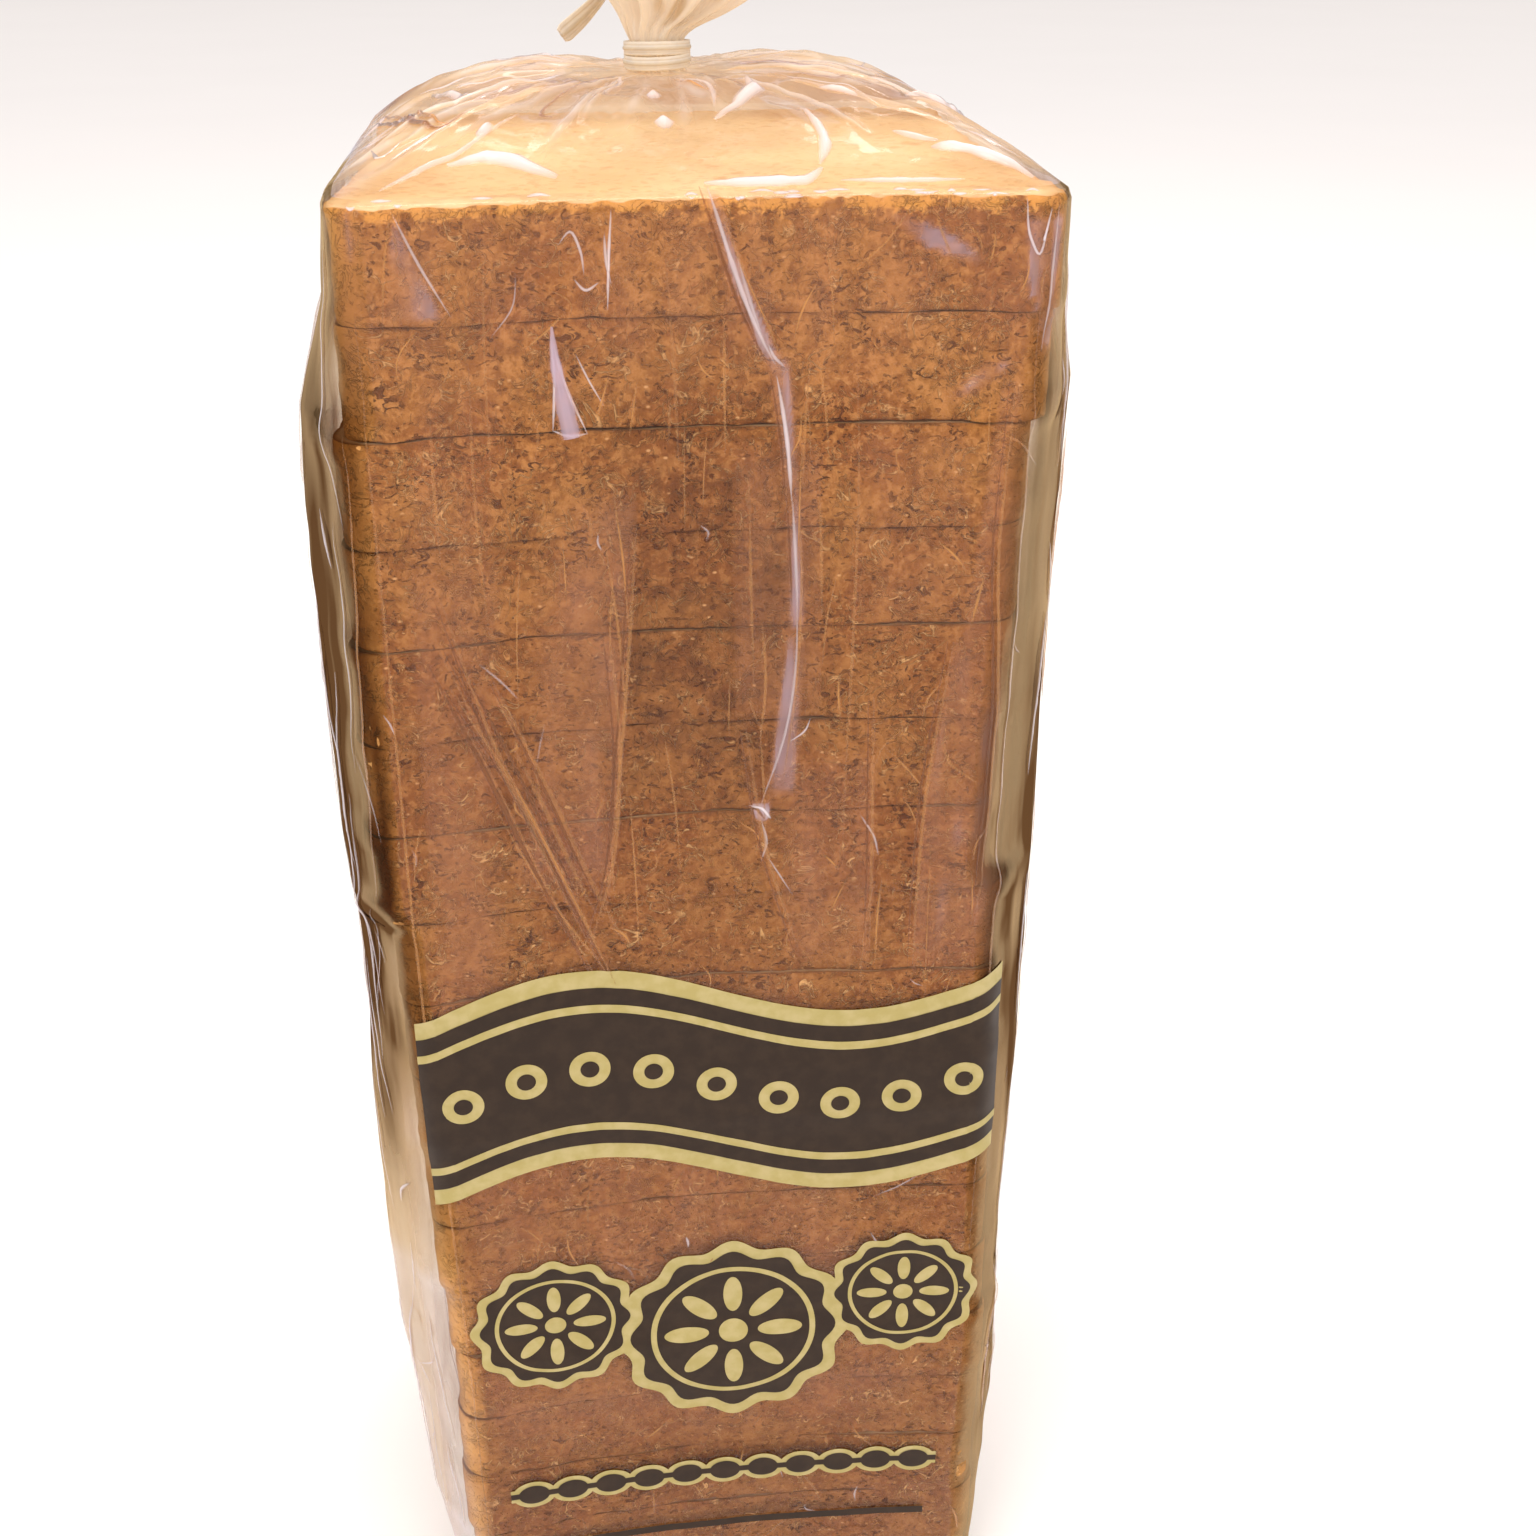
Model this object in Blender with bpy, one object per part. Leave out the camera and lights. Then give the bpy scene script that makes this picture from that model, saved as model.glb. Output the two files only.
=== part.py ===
"""A tall sliced loaf that stands on end in a clear bag, with the bag's neck held by a twist tie.

Frame: metres in Blender, +Z up. The flat base of the bag lies in Z = 0 with its middle at the origin,
and the front of the loaf faces -Y. All sizes below are in millimetres.
"""

import math

import bpy
import bmesh
from mathutils import Vector

MM = 0.001

# The loaf: slices that lie on each other. Slice 0 is the top one.
SLICES = 18
SLICE_THICK = 15.8
HALF_WIDTH = 50.8
HALF_DEPTH = 50.0
CORNER_RADIUS = 6.0
FACE_HOLLOW = 3.2
SLICE_SHIFT_X = (0.2, -0.6, -2.5, -2.9, -3.5, -4.0, -4.4, -1.9, -1.7, -1.4, -1.0, -0.8, -0.3, 0.4, 0.0, -0.5, 0.3, 0.0)
SLICE_SHIFT_Y = (0.0, 0.2, -0.2, 0.3, 0.0, 0.2, -0.2, 0.4, 0.0, -0.3, 0.1, 0.0, 0.3, -0.2, 0.1, -0.1, 0.0, 0.0)

# The film over the loaf
FILM_GAP = 0.5
FILM_BRIDGE = 1.0
GROOVE_DEPTH = 0.7
GROOVE_REACH = 2.6
BASE_ROUND = ((0.0, 2.6), (0.9, 0.7), (2.6, 0.0))
TOP_ROUND = ((-1.6, 0.0), (-0.3, 0.5), (0.5, 1.7))
LOAF_TOP = SLICES * SLICE_THICK + FILM_GAP

# Slack film at both sides. Each pair is slices below the top, then where the film stands in x.
WING_LEFT = (
    (0.0, -51.9), (0.9, -53.4), (1.9, -58.4), (3.0, -59.5), (4.9, -60.3), (6.7, -60.0),
    (7.9, -59.5), (9.2, -60.4), (12.0, -60.7), (13.3, -60.4), (14.4, -59.2), (15.9, -58.6), (18.0, -53.5),
)
WING_RIGHT = (
    (0.0, 52.0), (0.9, 54.0), (1.8, 56.5), (3.4, 56.3), (4.7, 56.2), (6.8, 56.7),
    (8.9, 56.5), (11.3, 56.0), (12.8, 55.5), (15.9, 55.4), (18.0, 52.5),
)
WING_PEAK = 0.16
WING_REST = 0.14

# How many segments each part of a ring has
FRONT_SEGMENTS = 12
SIDE_SEGMENTS = 9
BACK_SEGMENTS = 10
CORNER_SEGMENTS = 3
COLUMNS = FRONT_SEGMENTS + BACK_SEGMENTS + 2 * SIDE_SEGMENTS + 4 * CORNER_SEGMENTS
PLEATS = 13
PLEAT_SHARES = (1.0, 0.55, 1.25, 0.8, 1.1, 0.45, 0.9, 1.3, 0.6, 1.0, 0.75, 1.2, 0.5)

# The pleated film between the loaf's top and the neck
NECK_X = -2.9
NECK_RADIUS = 4.1
TENT_HEIGHT = 11.0
TENT_POWER = 3.0
TENT_RIGHT_LIFT = 0.9
PLEAT_DEPTH = 0.9
TENT_STEPS = (0.90, 0.78, 0.64, 0.50, 0.36, 0.23, 0.12, 0.04)
NECK_RINGS = ((11.0, 4.3), (11.7, NECK_RADIUS), (15.2, NECK_RADIUS), (15.9, 4.4))

# The open tail above the neck: height over the loaf, middle x, half width, half depth, ruffle
TAIL_RINGS = (
    (17.2, -2.4, 5.2, 4.8, 0.5),
    (18.9, -0.8, 7.2, 5.6, 0.9),
    (21.5, 0.7, 10.0, 7.2, 1.3),
    (27.0, 1.7, 14.6, 9.8, 2.1),
    (35.0, 2.4, 19.6, 12.6, 3.0),
    (45.0, 2.2, 25.0, 15.6, 3.9),
    (56.0, 1.7, 29.0, 18.2, 4.6),
    (66.0, 1.4, 31.0, 19.8, 5.2),
)
TAIL_WAVE = 1.6
MOUTH_SINK = ((0.93, 0.6), (0.70, 4.0), (0.36, 7.5))
MOUTH_MIDDLE_SINK = 8.5

# The twist tie: heights are over the loaf
BAND_LOW = 11.5
BAND_HIGH = 15.4
BAND_INNER = 4.65
BAND_OUTER = 5.4
BAND_GROOVE = 0.25
BAND_COLUMNS = 36
TWIST_PATH = ((-2.9, 4.9, 13.4), (-3.6, 7.2, 15.2), (-4.6, 9.8, 18.0), (-5.9, 12.2, 20.9), (-7.3, 13.6, 23.2))
TWIST_TURNS = 1.5
TWIST_HALF_WIDTH = 1.5
TWIST_HALF_THICK = 0.75
EAR_DOWN = ((-6.9, 13.2, 22.6), (-8.4, 13.4, 22.6), (-10.8, 12.6, 20.7), (-14.0, 11.4, 17.9), (-17.4, 10.2, 15.3))
EAR_UP = ((-7.0, 13.2, 22.4), (-7.2, 15.4, 25.0), (-5.4, 17.6, 28.2), (-2.0, 19.6, 31.2), (2.0, 21.4, 33.2))
EAR_HALF_WIDTH = 1.6
EAR_WING_HALF_THICK = 0.22
EAR_WIRE_HALF_THICK = 0.5


def lerp(a, b, t):
    return a + (b - a) * t


def smooth(t):
    t = min(max(t, 0.0), 1.0)
    return t * t * (3.0 - 2.0 * t)


def along(pairs, at):
    """Straight lines between the (position, value) pairs."""
    for (p0, v0), (p1, v1) in zip(pairs, pairs[1:]):
        if at <= p1:
            return lerp(v0, v1, max(at - p0, 0.0) / (p1 - p0))
    return pairs[-1][1]


def wing_share(depth_share):
    """0 at the front corner, 1 at the slack fold, then falling slowly to the back."""
    if depth_share < WING_PEAK:
        return smooth(depth_share / WING_PEAK)
    return lerp(1.0, WING_REST, smooth((depth_share - WING_PEAK) / (1.0 - WING_PEAK)))


def loaf_ring(height, shift_x, shift_y, rounding, groove):
    """One ring of film round the loaf, counter-clockwise from the front left corner.

    Rounding draws the whole ring in. The groove only draws in film that lies on the bread.
    """
    inset = rounding + groove
    left = shift_x - HALF_WIDTH - FILM_GAP + inset
    right = shift_x + HALF_WIDTH + FILM_GAP - inset
    front = shift_y - HALF_DEPTH - FILM_GAP + inset
    back = shift_y + HALF_DEPTH + FILM_GAP - inset
    radius = CORNER_RADIUS
    hollow = FACE_HOLLOW - FILM_BRIDGE
    below = (LOAF_TOP - height) / SLICE_THICK
    push_left = max(left - along(WING_LEFT, below) - rounding, 0.0)
    push_right = max(along(WING_RIGHT, below) - rounding - right, 0.0)
    points = []

    def corner(centre_x, centre_y, start):
        for k in range(CORNER_SEGMENTS):
            angle = start + 0.5 * math.pi * k / CORNER_SEGMENTS
            points.append([centre_x + radius * math.cos(angle), centre_y + radius * math.sin(angle), angle])

    for k in range(FRONT_SEGMENTS):
        t = k / FRONT_SEGMENTS
        bow = hollow * 4.0 * t * (1.0 - t)
        points.append([lerp(left + radius, right - radius, t), front + bow, None])
    corner(right - radius, front + radius, -0.5 * math.pi)
    for k in range(SIDE_SEGMENTS):
        points.append([right, lerp(front + radius, back - radius, k / SIDE_SEGMENTS), 0.0])
    corner(right - radius, back - radius, 0.0)
    for k in range(BACK_SEGMENTS):
        t = k / BACK_SEGMENTS
        bow = hollow * 4.0 * t * (1.0 - t)
        points.append([lerp(right - radius, left + radius, t), back - bow, None])
    corner(left + radius, back - radius, 0.5 * math.pi)
    for k in range(SIDE_SEGMENTS):
        points.append([left, lerp(back - radius, front + radius, k / SIDE_SEGMENTS), math.pi])
    corner(left + radius, front + radius, math.pi)

    ring = []
    for x, y, side in points:
        if side is not None:
            share = wing_share((y - front) / (back - front))
            reach = abs(math.cos(side))
            x += (push_right if x > shift_x else -push_left) * share * reach
        ring.append((x, y, height))
    return ring


def pleat_fold(column):
    """The folds round the neck: up and down once a pleat, some pleats deeper than others."""
    turn = PLEATS * column / COLUMNS
    return PLEAT_SHARES[int(turn + 0.5) % PLEATS] * math.cos(2.0 * math.pi * turn)


def neck_circle(middle_x, half_x, half_y, ruffle, height, wave=0.0):
    """A pleated ring whose points lie at the same share of a turn as the loaf's ring points."""
    ring = []
    start = -0.75 * math.pi + 0.12
    for k in range(COLUMNS):
        angle = start + 2.0 * math.pi * k / COLUMNS
        slow = math.cos(3.0 * angle + 0.6)
        grow = ruffle * (pleat_fold(k) + 0.3 * slow)
        turned = angle + 0.10 * slow
        x = middle_x + (half_x + grow) * math.cos(turned)
        y = (half_y + grow) * math.sin(turned)
        ring.append((x, y, height + wave * slow))
    return ring


def tent_ring(edge, share):
    """Between the loaf's top edge (share 1) and the neck (share 0), higher in a dome and pleated."""
    neck = neck_circle(NECK_X, NECK_RADIUS + 0.3, NECK_RADIUS + 0.3, 0.15, 0.0)
    ring = []
    for k in range(COLUMNS):
        x = lerp(neck[k][0], edge[k][0], share)
        y = lerp(neck[k][1], edge[k][1], share)
        dome = 1.0 - share ** TENT_POWER
        side = smooth(0.5 + (x + 0.4 * y) / 60.0) * smooth(4.0 * share)
        lift = TENT_HEIGHT * dome + TENT_RIGHT_LIFT * dome * side
        pleat = PLEAT_DEPTH * pleat_fold(k) * math.sin(math.pi * share) * smooth(2.0 * share)
        ring.append((x, y, LOAF_TOP + FILM_GAP + lift * (1.0 - FILM_GAP / TENT_HEIGHT) + pleat))
    return ring


def bag_rings():
    """All rings of the bag from the base to the tail's mouth, which is sunk a little."""
    rings = []
    last = SLICES - 1
    for height, inset in BASE_ROUND:
        rings.append(loaf_ring(height, SLICE_SHIFT_X[last], SLICE_SHIFT_Y[last], inset, 0.0))
    for number in range(last, -1, -1):
        shift = (SLICE_SHIFT_X[number], SLICE_SHIFT_Y[number])
        low = LOAF_TOP - (number + 1) * SLICE_THICK
        high = low + SLICE_THICK
        if number < last:
            under = (SLICE_SHIFT_X[number + 1], SLICE_SHIFT_Y[number + 1])
            mean = (0.5 * (shift[0] + under[0]), 0.5 * (shift[1] + under[1]))
            rings.append(loaf_ring(low, mean[0], mean[1], 0.0, GROOVE_DEPTH))
            rings.append(loaf_ring(low + GROOVE_REACH, shift[0], shift[1], 0.0, 0.0))
        if number > 0:
            rings.append(loaf_ring(high - GROOVE_REACH, shift[0], shift[1], 0.0, 0.0))
    for over, inset in TOP_ROUND:
        rings.append(loaf_ring(LOAF_TOP + over, SLICE_SHIFT_X[0], SLICE_SHIFT_Y[0], inset, 0.0))
    edge = rings[-1]
    for share in TENT_STEPS:
        rings.append(tent_ring(edge, share))
    for over, radius in NECK_RINGS:
        rings.append(neck_circle(NECK_X, radius, radius, 0.12, LOAF_TOP + over))
    for over, middle, half_x, half_y, ruffle in TAIL_RINGS:
        wave = TAIL_WAVE * smooth((over - 40.0) / 26.0)
        rings.append(neck_circle(middle, half_x, half_y, ruffle, LOAF_TOP + over, wave))
    rim = rings[-1]
    middle = TAIL_RINGS[-1][1]
    for share, sink in MOUTH_SINK:
        rings.append([(lerp(middle, x, share), y * share, z - sink) for x, y, z in rim])
    return rings


def mesh_from_rings(rings, low_middle, high_middle):
    """A closed body: the rings joined in order, with a fan to a point at each end."""
    body = bmesh.new()
    rows = [[body.verts.new(Vector(point) * MM) for point in ring] for ring in rings]
    count = len(rows[0])
    for row, above in zip(rows, rows[1:]):
        for k in range(count):
            n = (k + 1) % count
            body.faces.new((row[k], row[n], above[n], above[k]))
    low = body.verts.new(Vector(low_middle) * MM)
    high = body.verts.new(Vector(high_middle) * MM)
    for k in range(count):
        n = (k + 1) % count
        body.faces.new((rows[0][n], rows[0][k], low))
        body.faces.new((rows[-1][k], rows[-1][n], high))
    return body


def finish_mesh(name, body, material, smooth_shading):
    """Faces point outwards and are triangles; the object gets its name and material."""
    bmesh.ops.triangulate(body, faces=body.faces[:])
    bmesh.ops.recalc_face_normals(body, faces=body.faces[:])
    for face in body.faces:
        face.smooth = smooth_shading
    mesh = bpy.data.meshes.new(name)
    body.to_mesh(mesh)
    body.free()
    made = bpy.data.objects.new(name, mesh)
    made.data.materials.append(material)
    bpy.context.scene.collection.objects.link(made)
    return made


def plain_material(name, colour, roughness):
    material = bpy.data.materials.new(name)
    material.use_nodes = True
    shader = material.node_tree.nodes["Principled BSDF"]
    shader.inputs["Base Color"].default_value = (*colour, 1.0)
    shader.inputs["Roughness"].default_value = roughness
    return material


def band_body():
    """The strip's turns round the neck: a ring with a shallow groove half way up."""
    middle = 0.5 * (BAND_LOW + BAND_HIGH)
    section = (
        (BAND_INNER, BAND_LOW), (BAND_OUTER - 0.1, BAND_LOW), (BAND_OUTER, BAND_LOW + 0.4),
        (BAND_OUTER, middle - 0.5), (BAND_OUTER - BAND_GROOVE, middle), (BAND_OUTER, middle + 0.5),
        (BAND_OUTER, BAND_HIGH - 0.4), (BAND_OUTER - 0.1, BAND_HIGH), (BAND_INNER, BAND_HIGH),
    )
    body = bmesh.new()
    rows = []
    for k in range(BAND_COLUMNS):
        angle = 2.0 * math.pi * k / BAND_COLUMNS
        row = []
        for radius, over in section:
            place = (NECK_X + radius * math.cos(angle), radius * math.sin(angle), LOAF_TOP + over)
            row.append(body.verts.new(Vector(place) * MM))
        rows.append(row)
    for k in range(BAND_COLUMNS):
        row, after = rows[k], rows[(k + 1) % BAND_COLUMNS]
        for j in range(len(section)):
            n = (j + 1) % len(section)
            body.faces.new((row[j], after[j], after[n], row[n]))
    return body


def round_path(path, steps):
    """Points on smooth curves through the path's points (Catmull-Rom)."""
    points = [Vector(p) for p in path]
    points = [points[0] * 2.0 - points[1]] + points + [points[-1] * 2.0 - points[-2]]
    out = []
    for k in range(1, len(points) - 2):
        p0, p1, p2, p3 = points[k - 1], points[k], points[k + 1], points[k + 2]
        for j in range(steps):
            t = j / steps
            a = p1 * 2.0
            b = (p2 - p0) * t
            c = (p0 * 2.0 - p1 * 5.0 + p2 * 4.0 - p3) * (t * t)
            d = (p1 * 3.0 - p0 - p2 * 3.0 + p3) * (t * t * t)
            out.append((a + b + c + d) * 0.5)
    out.append(points[-2])
    return out


def swept_body(path, section, wide, turns, steps, tip):
    """The section moved along the path. Its width starts near the direction wide and may turn."""
    line = round_path(path, steps)
    body = bmesh.new()
    rows = []
    for k, point in enumerate(line):
        ahead = (line[min(k + 1, len(line) - 1)] - line[max(k - 1, 0)]).normalized()
        across = (wide - ahead * wide.dot(ahead)).normalized()
        up = ahead.cross(across)
        share = k / (len(line) - 1)
        angle = 2.0 * math.pi * turns * share
        size = tip if k == len(line) - 1 else 1.0
        row = []
        for u, v in section:
            a = (u * math.cos(angle) - v * math.sin(angle)) * size
            b = u * math.sin(angle) + v * math.cos(angle)
            place = Vector((point.x, point.y, point.z + LOAF_TOP)) + across * a + up * b
            row.append(body.verts.new(place * MM))
        rows.append(row)
    count = len(section)
    for row, after in zip(rows, rows[1:]):
        for j in range(count):
            n = (j + 1) % count
            body.faces.new((row[j], row[n], after[n], after[j]))
    body.faces.new(rows[0][::-1])
    body.faces.new(rows[-1])
    return body


def join_onto(base, other):
    """Union of two closed bodies; the second one is used up."""
    step = base.modifiers.new("union", "BOOLEAN")
    step.operation = "UNION"
    step.solver = "MANIFOLD"
    step.object = other
    bpy.context.view_layer.update()
    graph = bpy.context.evaluated_depsgraph_get()
    merged = bpy.data.meshes.new_from_object(base.evaluated_get(graph))
    base.modifiers.remove(step)
    base.data = merged
    bpy.data.objects.remove(other)


def build_bag():
    rings = bag_rings()
    low = (0.0, 0.0, 0.0)
    high = (TAIL_RINGS[-1][1], 0.0, LOAF_TOP + TAIL_RINGS[-1][0] - MOUTH_MIDDLE_SINK)
    body = mesh_from_rings(rings, low, high)
    return finish_mesh("bagged_loaf", body, plain_material("bread_under_film", (0.434, 0.195, 0.069), 0.35), True)


def build_tie():
    cream = plain_material("tie_strip", (0.694, 0.584, 0.392), 0.4)
    tie = finish_mesh("twist_tie", band_body(), cream, True)
    w, t = TWIST_HALF_WIDTH, TWIST_HALF_THICK
    pair = ((-w, -t), (-0.2 * w, -0.7 * t), (0.2 * w, -0.7 * t), (w, -t), (w, t), (0.2 * w, 0.7 * t), (-0.2 * w, 0.7 * t), (-w, t))
    join_onto(tie, finish_mesh("twist", swept_body(TWIST_PATH, pair, Vector((1, 0, 0)), TWIST_TURNS, 6, 1.0), cream, True))
    w, t, m = EAR_HALF_WIDTH, EAR_WING_HALF_THICK, EAR_WIRE_HALF_THICK
    strip = ((-w, -t), (-0.4 * w, -t), (0.0, -m), (0.4 * w, -t), (w, -t), (w, t), (0.4 * w, t), (0.0, m), (-0.4 * w, t), (-w, t))
    ears = ((EAR_DOWN, Vector((0.6, 0.1, -0.8))), (EAR_UP, Vector((0.7, 0.1, -0.7))))
    for path, wide in ears:
        join_onto(tie, finish_mesh("ear", swept_body(path, strip, wide, 0.0, 4, 0.55), cream, True))
    return tie


def clear_scene():
    for old in list(bpy.data.objects):
        bpy.data.objects.remove(old)


clear_scene()
build_bag()
build_tie()
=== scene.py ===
"""A sliced sandwich loaf in a clear film bag: the slices, the film with its folds, haze and print, the
gathered neck with its open tail, and the twist tie. Sizes are in millimetres until a mesh is made."""

import math

import bpy
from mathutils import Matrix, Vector
import numpy as np


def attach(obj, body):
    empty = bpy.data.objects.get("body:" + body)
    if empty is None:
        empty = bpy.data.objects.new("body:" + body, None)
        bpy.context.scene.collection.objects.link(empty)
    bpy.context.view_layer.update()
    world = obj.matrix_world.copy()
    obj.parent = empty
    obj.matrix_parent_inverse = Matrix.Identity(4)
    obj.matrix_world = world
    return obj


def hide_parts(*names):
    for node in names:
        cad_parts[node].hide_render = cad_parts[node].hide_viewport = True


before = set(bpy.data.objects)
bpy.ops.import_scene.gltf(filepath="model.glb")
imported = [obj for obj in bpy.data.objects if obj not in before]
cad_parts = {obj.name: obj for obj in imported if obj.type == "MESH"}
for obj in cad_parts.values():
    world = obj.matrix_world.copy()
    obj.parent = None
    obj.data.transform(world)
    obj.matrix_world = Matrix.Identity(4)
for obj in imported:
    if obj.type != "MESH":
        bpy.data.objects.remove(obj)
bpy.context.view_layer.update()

MM = 0.001
TAU = 2.0 * math.pi

# The loaf, as in the part: its slices, half width and depth, corner radius, how far front and back cave in,
# and how far each slice from the top is shifted to the right and to the back
SLICES = 18
THICK = 15.8
HALF_W = 50.8
HALF_D = 50.0
CORNER = 6.0
HOLLOW = 3.2
SHIFT_X = (0.2, -0.6, -2.5, -2.9, -3.5, -4.0, -4.4, -1.9, -1.7,
           -1.4, -1.0, -0.8, -0.3, 0.4, 0.0, -0.5, 0.3, 0.0)
SHIFT_Y = (0.0, 0.2, -0.2, 0.3, 0.0, 0.2, -0.2, 0.4, 0.0, -0.3, 0.1, 0.0, 0.3, -0.2, 0.1, -0.1, 0.0, 0.0)
# The film's distance from the bread, and how much less than the bread it caves in
GAP = 0.5
BRIDGE = 1.0
TOP = SLICES * THICK + GAP
# How far below the loaf's top the creases at the sides and the back may reach
LOWEST = 278.0
# How far out the slack film stands at the left and at the right: (slices below the top, mm from the middle)
WING_L = ((0.0, -51.9), (0.9, -53.4), (1.9, -58.4), (3.0, -59.5), (4.9, -60.3), (6.7, -60.0), (7.9, -59.5),
          (9.2, -60.4), (12.0, -60.7), (13.3, -60.4), (14.4, -59.2), (15.9, -58.6), (18.0, -53.5))
WING_R = ((0.0, 52.0), (0.9, 54.0), (1.8, 56.5), (3.4, 56.3), (4.7, 56.2), (6.8, 56.7), (8.9, 56.5),
          (11.3, 56.0), (12.8, 55.5), (15.9, 55.4), (18.0, 52.5))
# How far along a side, from the front, the slack film stands out most, and the share left at the back
WING_PEAK = 0.16
WING_REST = 0.14
# The neck: its folds, how deep each is, the middle, the radius, and how high the film rises to it
PLEATS = 13
PLEAT_SHARES = (1.0, 0.55, 1.25, 0.8, 1.1, 0.45, 0.9, 1.3, 0.6, 1.0, 0.75, 1.2, 0.5)
NECK_X = -2.9
NECK_R = 4.1
TENT_H = 11.0
# Rings of the neck and the tail: mm above the loaf, middle, half width, half depth and depth of the folds
TAIL = ((10.9, NECK_X, 4.35, 4.35, 0.12), (11.7, NECK_X, NECK_R, NECK_R, 0.12),
        (15.2, NECK_X, NECK_R, NECK_R, 0.12), (15.9, NECK_X, 4.4, 4.4, 0.12), (17.2, -2.4, 5.2, 4.8, 0.5),
        (18.9, -0.8, 7.2, 5.6, 0.9), (21.5, 0.7, 10.0, 7.2, 1.3), (27.0, 1.7, 14.6, 9.8, 2.1),
        (35.0, 2.4, 19.6, 12.6, 3.0), (45.0, 2.2, 25.0, 15.6, 3.9), (56.0, 1.7, 29.0, 18.2, 4.6),
        (66.0, 1.4, 31.0, 19.8, 5.2))

# A turn round the loaf is cut into 52 steps: front 12, side 9, back 10, side 9 and 3 at each corner
SEGMENTS = np.array([0, 12, 15, 24, 27, 37, 40, 49, 52], float)
LENGTHS = np.array([90.6, 9.4, 89.0, 9.4, 90.6, 9.4, 89.0, 9.4])
ROUND = np.concatenate([[0.0], np.cumsum(LENGTHS)]) - LENGTHS[0] / 2
GIRTH = LENGTHS.sum()

# Creases in the front film: points as (mm right of the loaf's middle, mm below its top), then the half width
# in mm, how white it shows (partly whitened film, partly a painted highlight), and its height in mm if it is
# wide enough to have one
CREASES = (
    (((0.5, -1), (3, 7), (5, 13), (8, 20), (9.6, 23)), 1.0, 0.7, 0.8),
    (((9.8, 24.6), (11, 32), (12, 43)), 0.8, 0.85, 0.8),
    (((12, 42), (12.6, 51), (13, 61)), 0.7, 0.5, 0.6),
    (((13, 58), (12.8, 70), (11.5, 80), (7, 95)), 0.6, 0.45),
    (((2.6, 3), (5.6, 11), (9.2, 19), (10.9, 23.4)), 0.4, 0.38),
    (((7.6, 61), (8.2, 72), (7.2, 84)), 0.5, 0.35),
    (((4.3, 8), (6, 14), (8, 20)), 0.9, 0.45, 0.5),
    (((8.5, 20), (9.5, 22), (11, 23.5)), 0.6, 0.6),
    (((16, 40), (16.5, 50), (16.8, 62)), 0.5, 0.3),
    (((5.8, 39), (6, 52), (6.4, 74)), 0.5, 0.3),
    (((13, 40), (13.6, 56), (13, 72), (10.8, 91)), 0.5, 0.3),
    (((-21.6, 18), (-21.4, 24), (-22, 31.5)), 0.5, 0.9),
    (((-21.4, 19), (-19.6, 26), (-17.2, 32)), 0.5, 1.0),
    (((-22, 31.4), (-20, 32.2), (-17.2, 32)), 0.5, 1.0),
    (((-12.6, 1.5), (-13.2, 8), (-13.6, 14.8)), 0.4, 0.8),
    (((-20, 6), (-18.2, 4.2), (-17, 6.6), (-16.6, 10)), 0.4, 0.6),
    (((-18, 10.5), (-16.5, 12), (-14.6, 11)), 0.4, 0.7),
    (((2.5, 15), (2.4, 26), (2.4, 36)), 0.4, 0.35),
    (((-41.4, 1), (-38.4, 8), (-34.8, 15)), 0.4, 0.5),
    (((-41.6, 1), (-43, 8), (-44, 16)), 0.4, 0.35),
    (((43.9, 0.8), (44.7, 6), (46, 8.3), (47.3, 4)), 0.45, 0.8),
    (((47.3, 4), (46.7, 6.5), (47.6, 2.2)), 0.4, 0.9),
    (((48.9, 2), (48.6, 9), (47.8, 22)), 0.5, 0.5),
    (((-50.8, 31), (-52.1, 55), (-53.2, 71), (-54.6, 106)), 0.5, 0.4),
    (((-39.4, 70), (-30.3, 89), (-24.6, 104), (-16.3, 128)), 0.9, 0.4, 0.55),
    (((-39.7, 56), (-32.9, 82), (-22.8, 108)), 0.8, 0.25, 0.4),
    (((-34, 92), (-25, 112), (-18, 124)), 0.6, 0.4),
    (((-15.3, 63), (-14.6, 83), (-16.6, 103), (-20.8, 118)), 0.9, 0.3, 0.4),
    (((-10.7, 46), (-13.6, 76), (-17, 105)), 0.8, 0.3, 0.4),
    (((5.1, 80), (7.9, 100), (13.8, 122)), 0.8, 0.25, 0.4),
    (((25, 75), (25.6, 123)), 0.7, 0.25, 0.3),
    (((37, 66), (33.5, 96), (33, 126)), 0.8, 0.3, 0.35),
    (((44, 26), (43, 48), (44.5, 80), (43, 118)), 0.8, 0.35, 0.35),
    (((5.6, 93.5), (7.5, 94), (9, 96)), 0.9, 1.0, 0.5),
    (((7.4, 96), (8.2, 100), (7.4, 104)), 0.6, 0.5),
    (((-47.5, 14), (-48, 60), (-48.6, 120), (-47.6, 180), (-46.8, 262)), 0.5, 0.35),
    (((46.8, 12), (47.3, 60), (46.6, 120), (46, 190)), 0.5, 0.3),
    (((-33, 22), (-33.6, 40), (-33.1, 62)), 0.45, 0.25),
    (((21.4, 24), (21.9, 46), (21.2, 78), (20.6, 100)), 0.45, 0.25),
)
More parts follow.
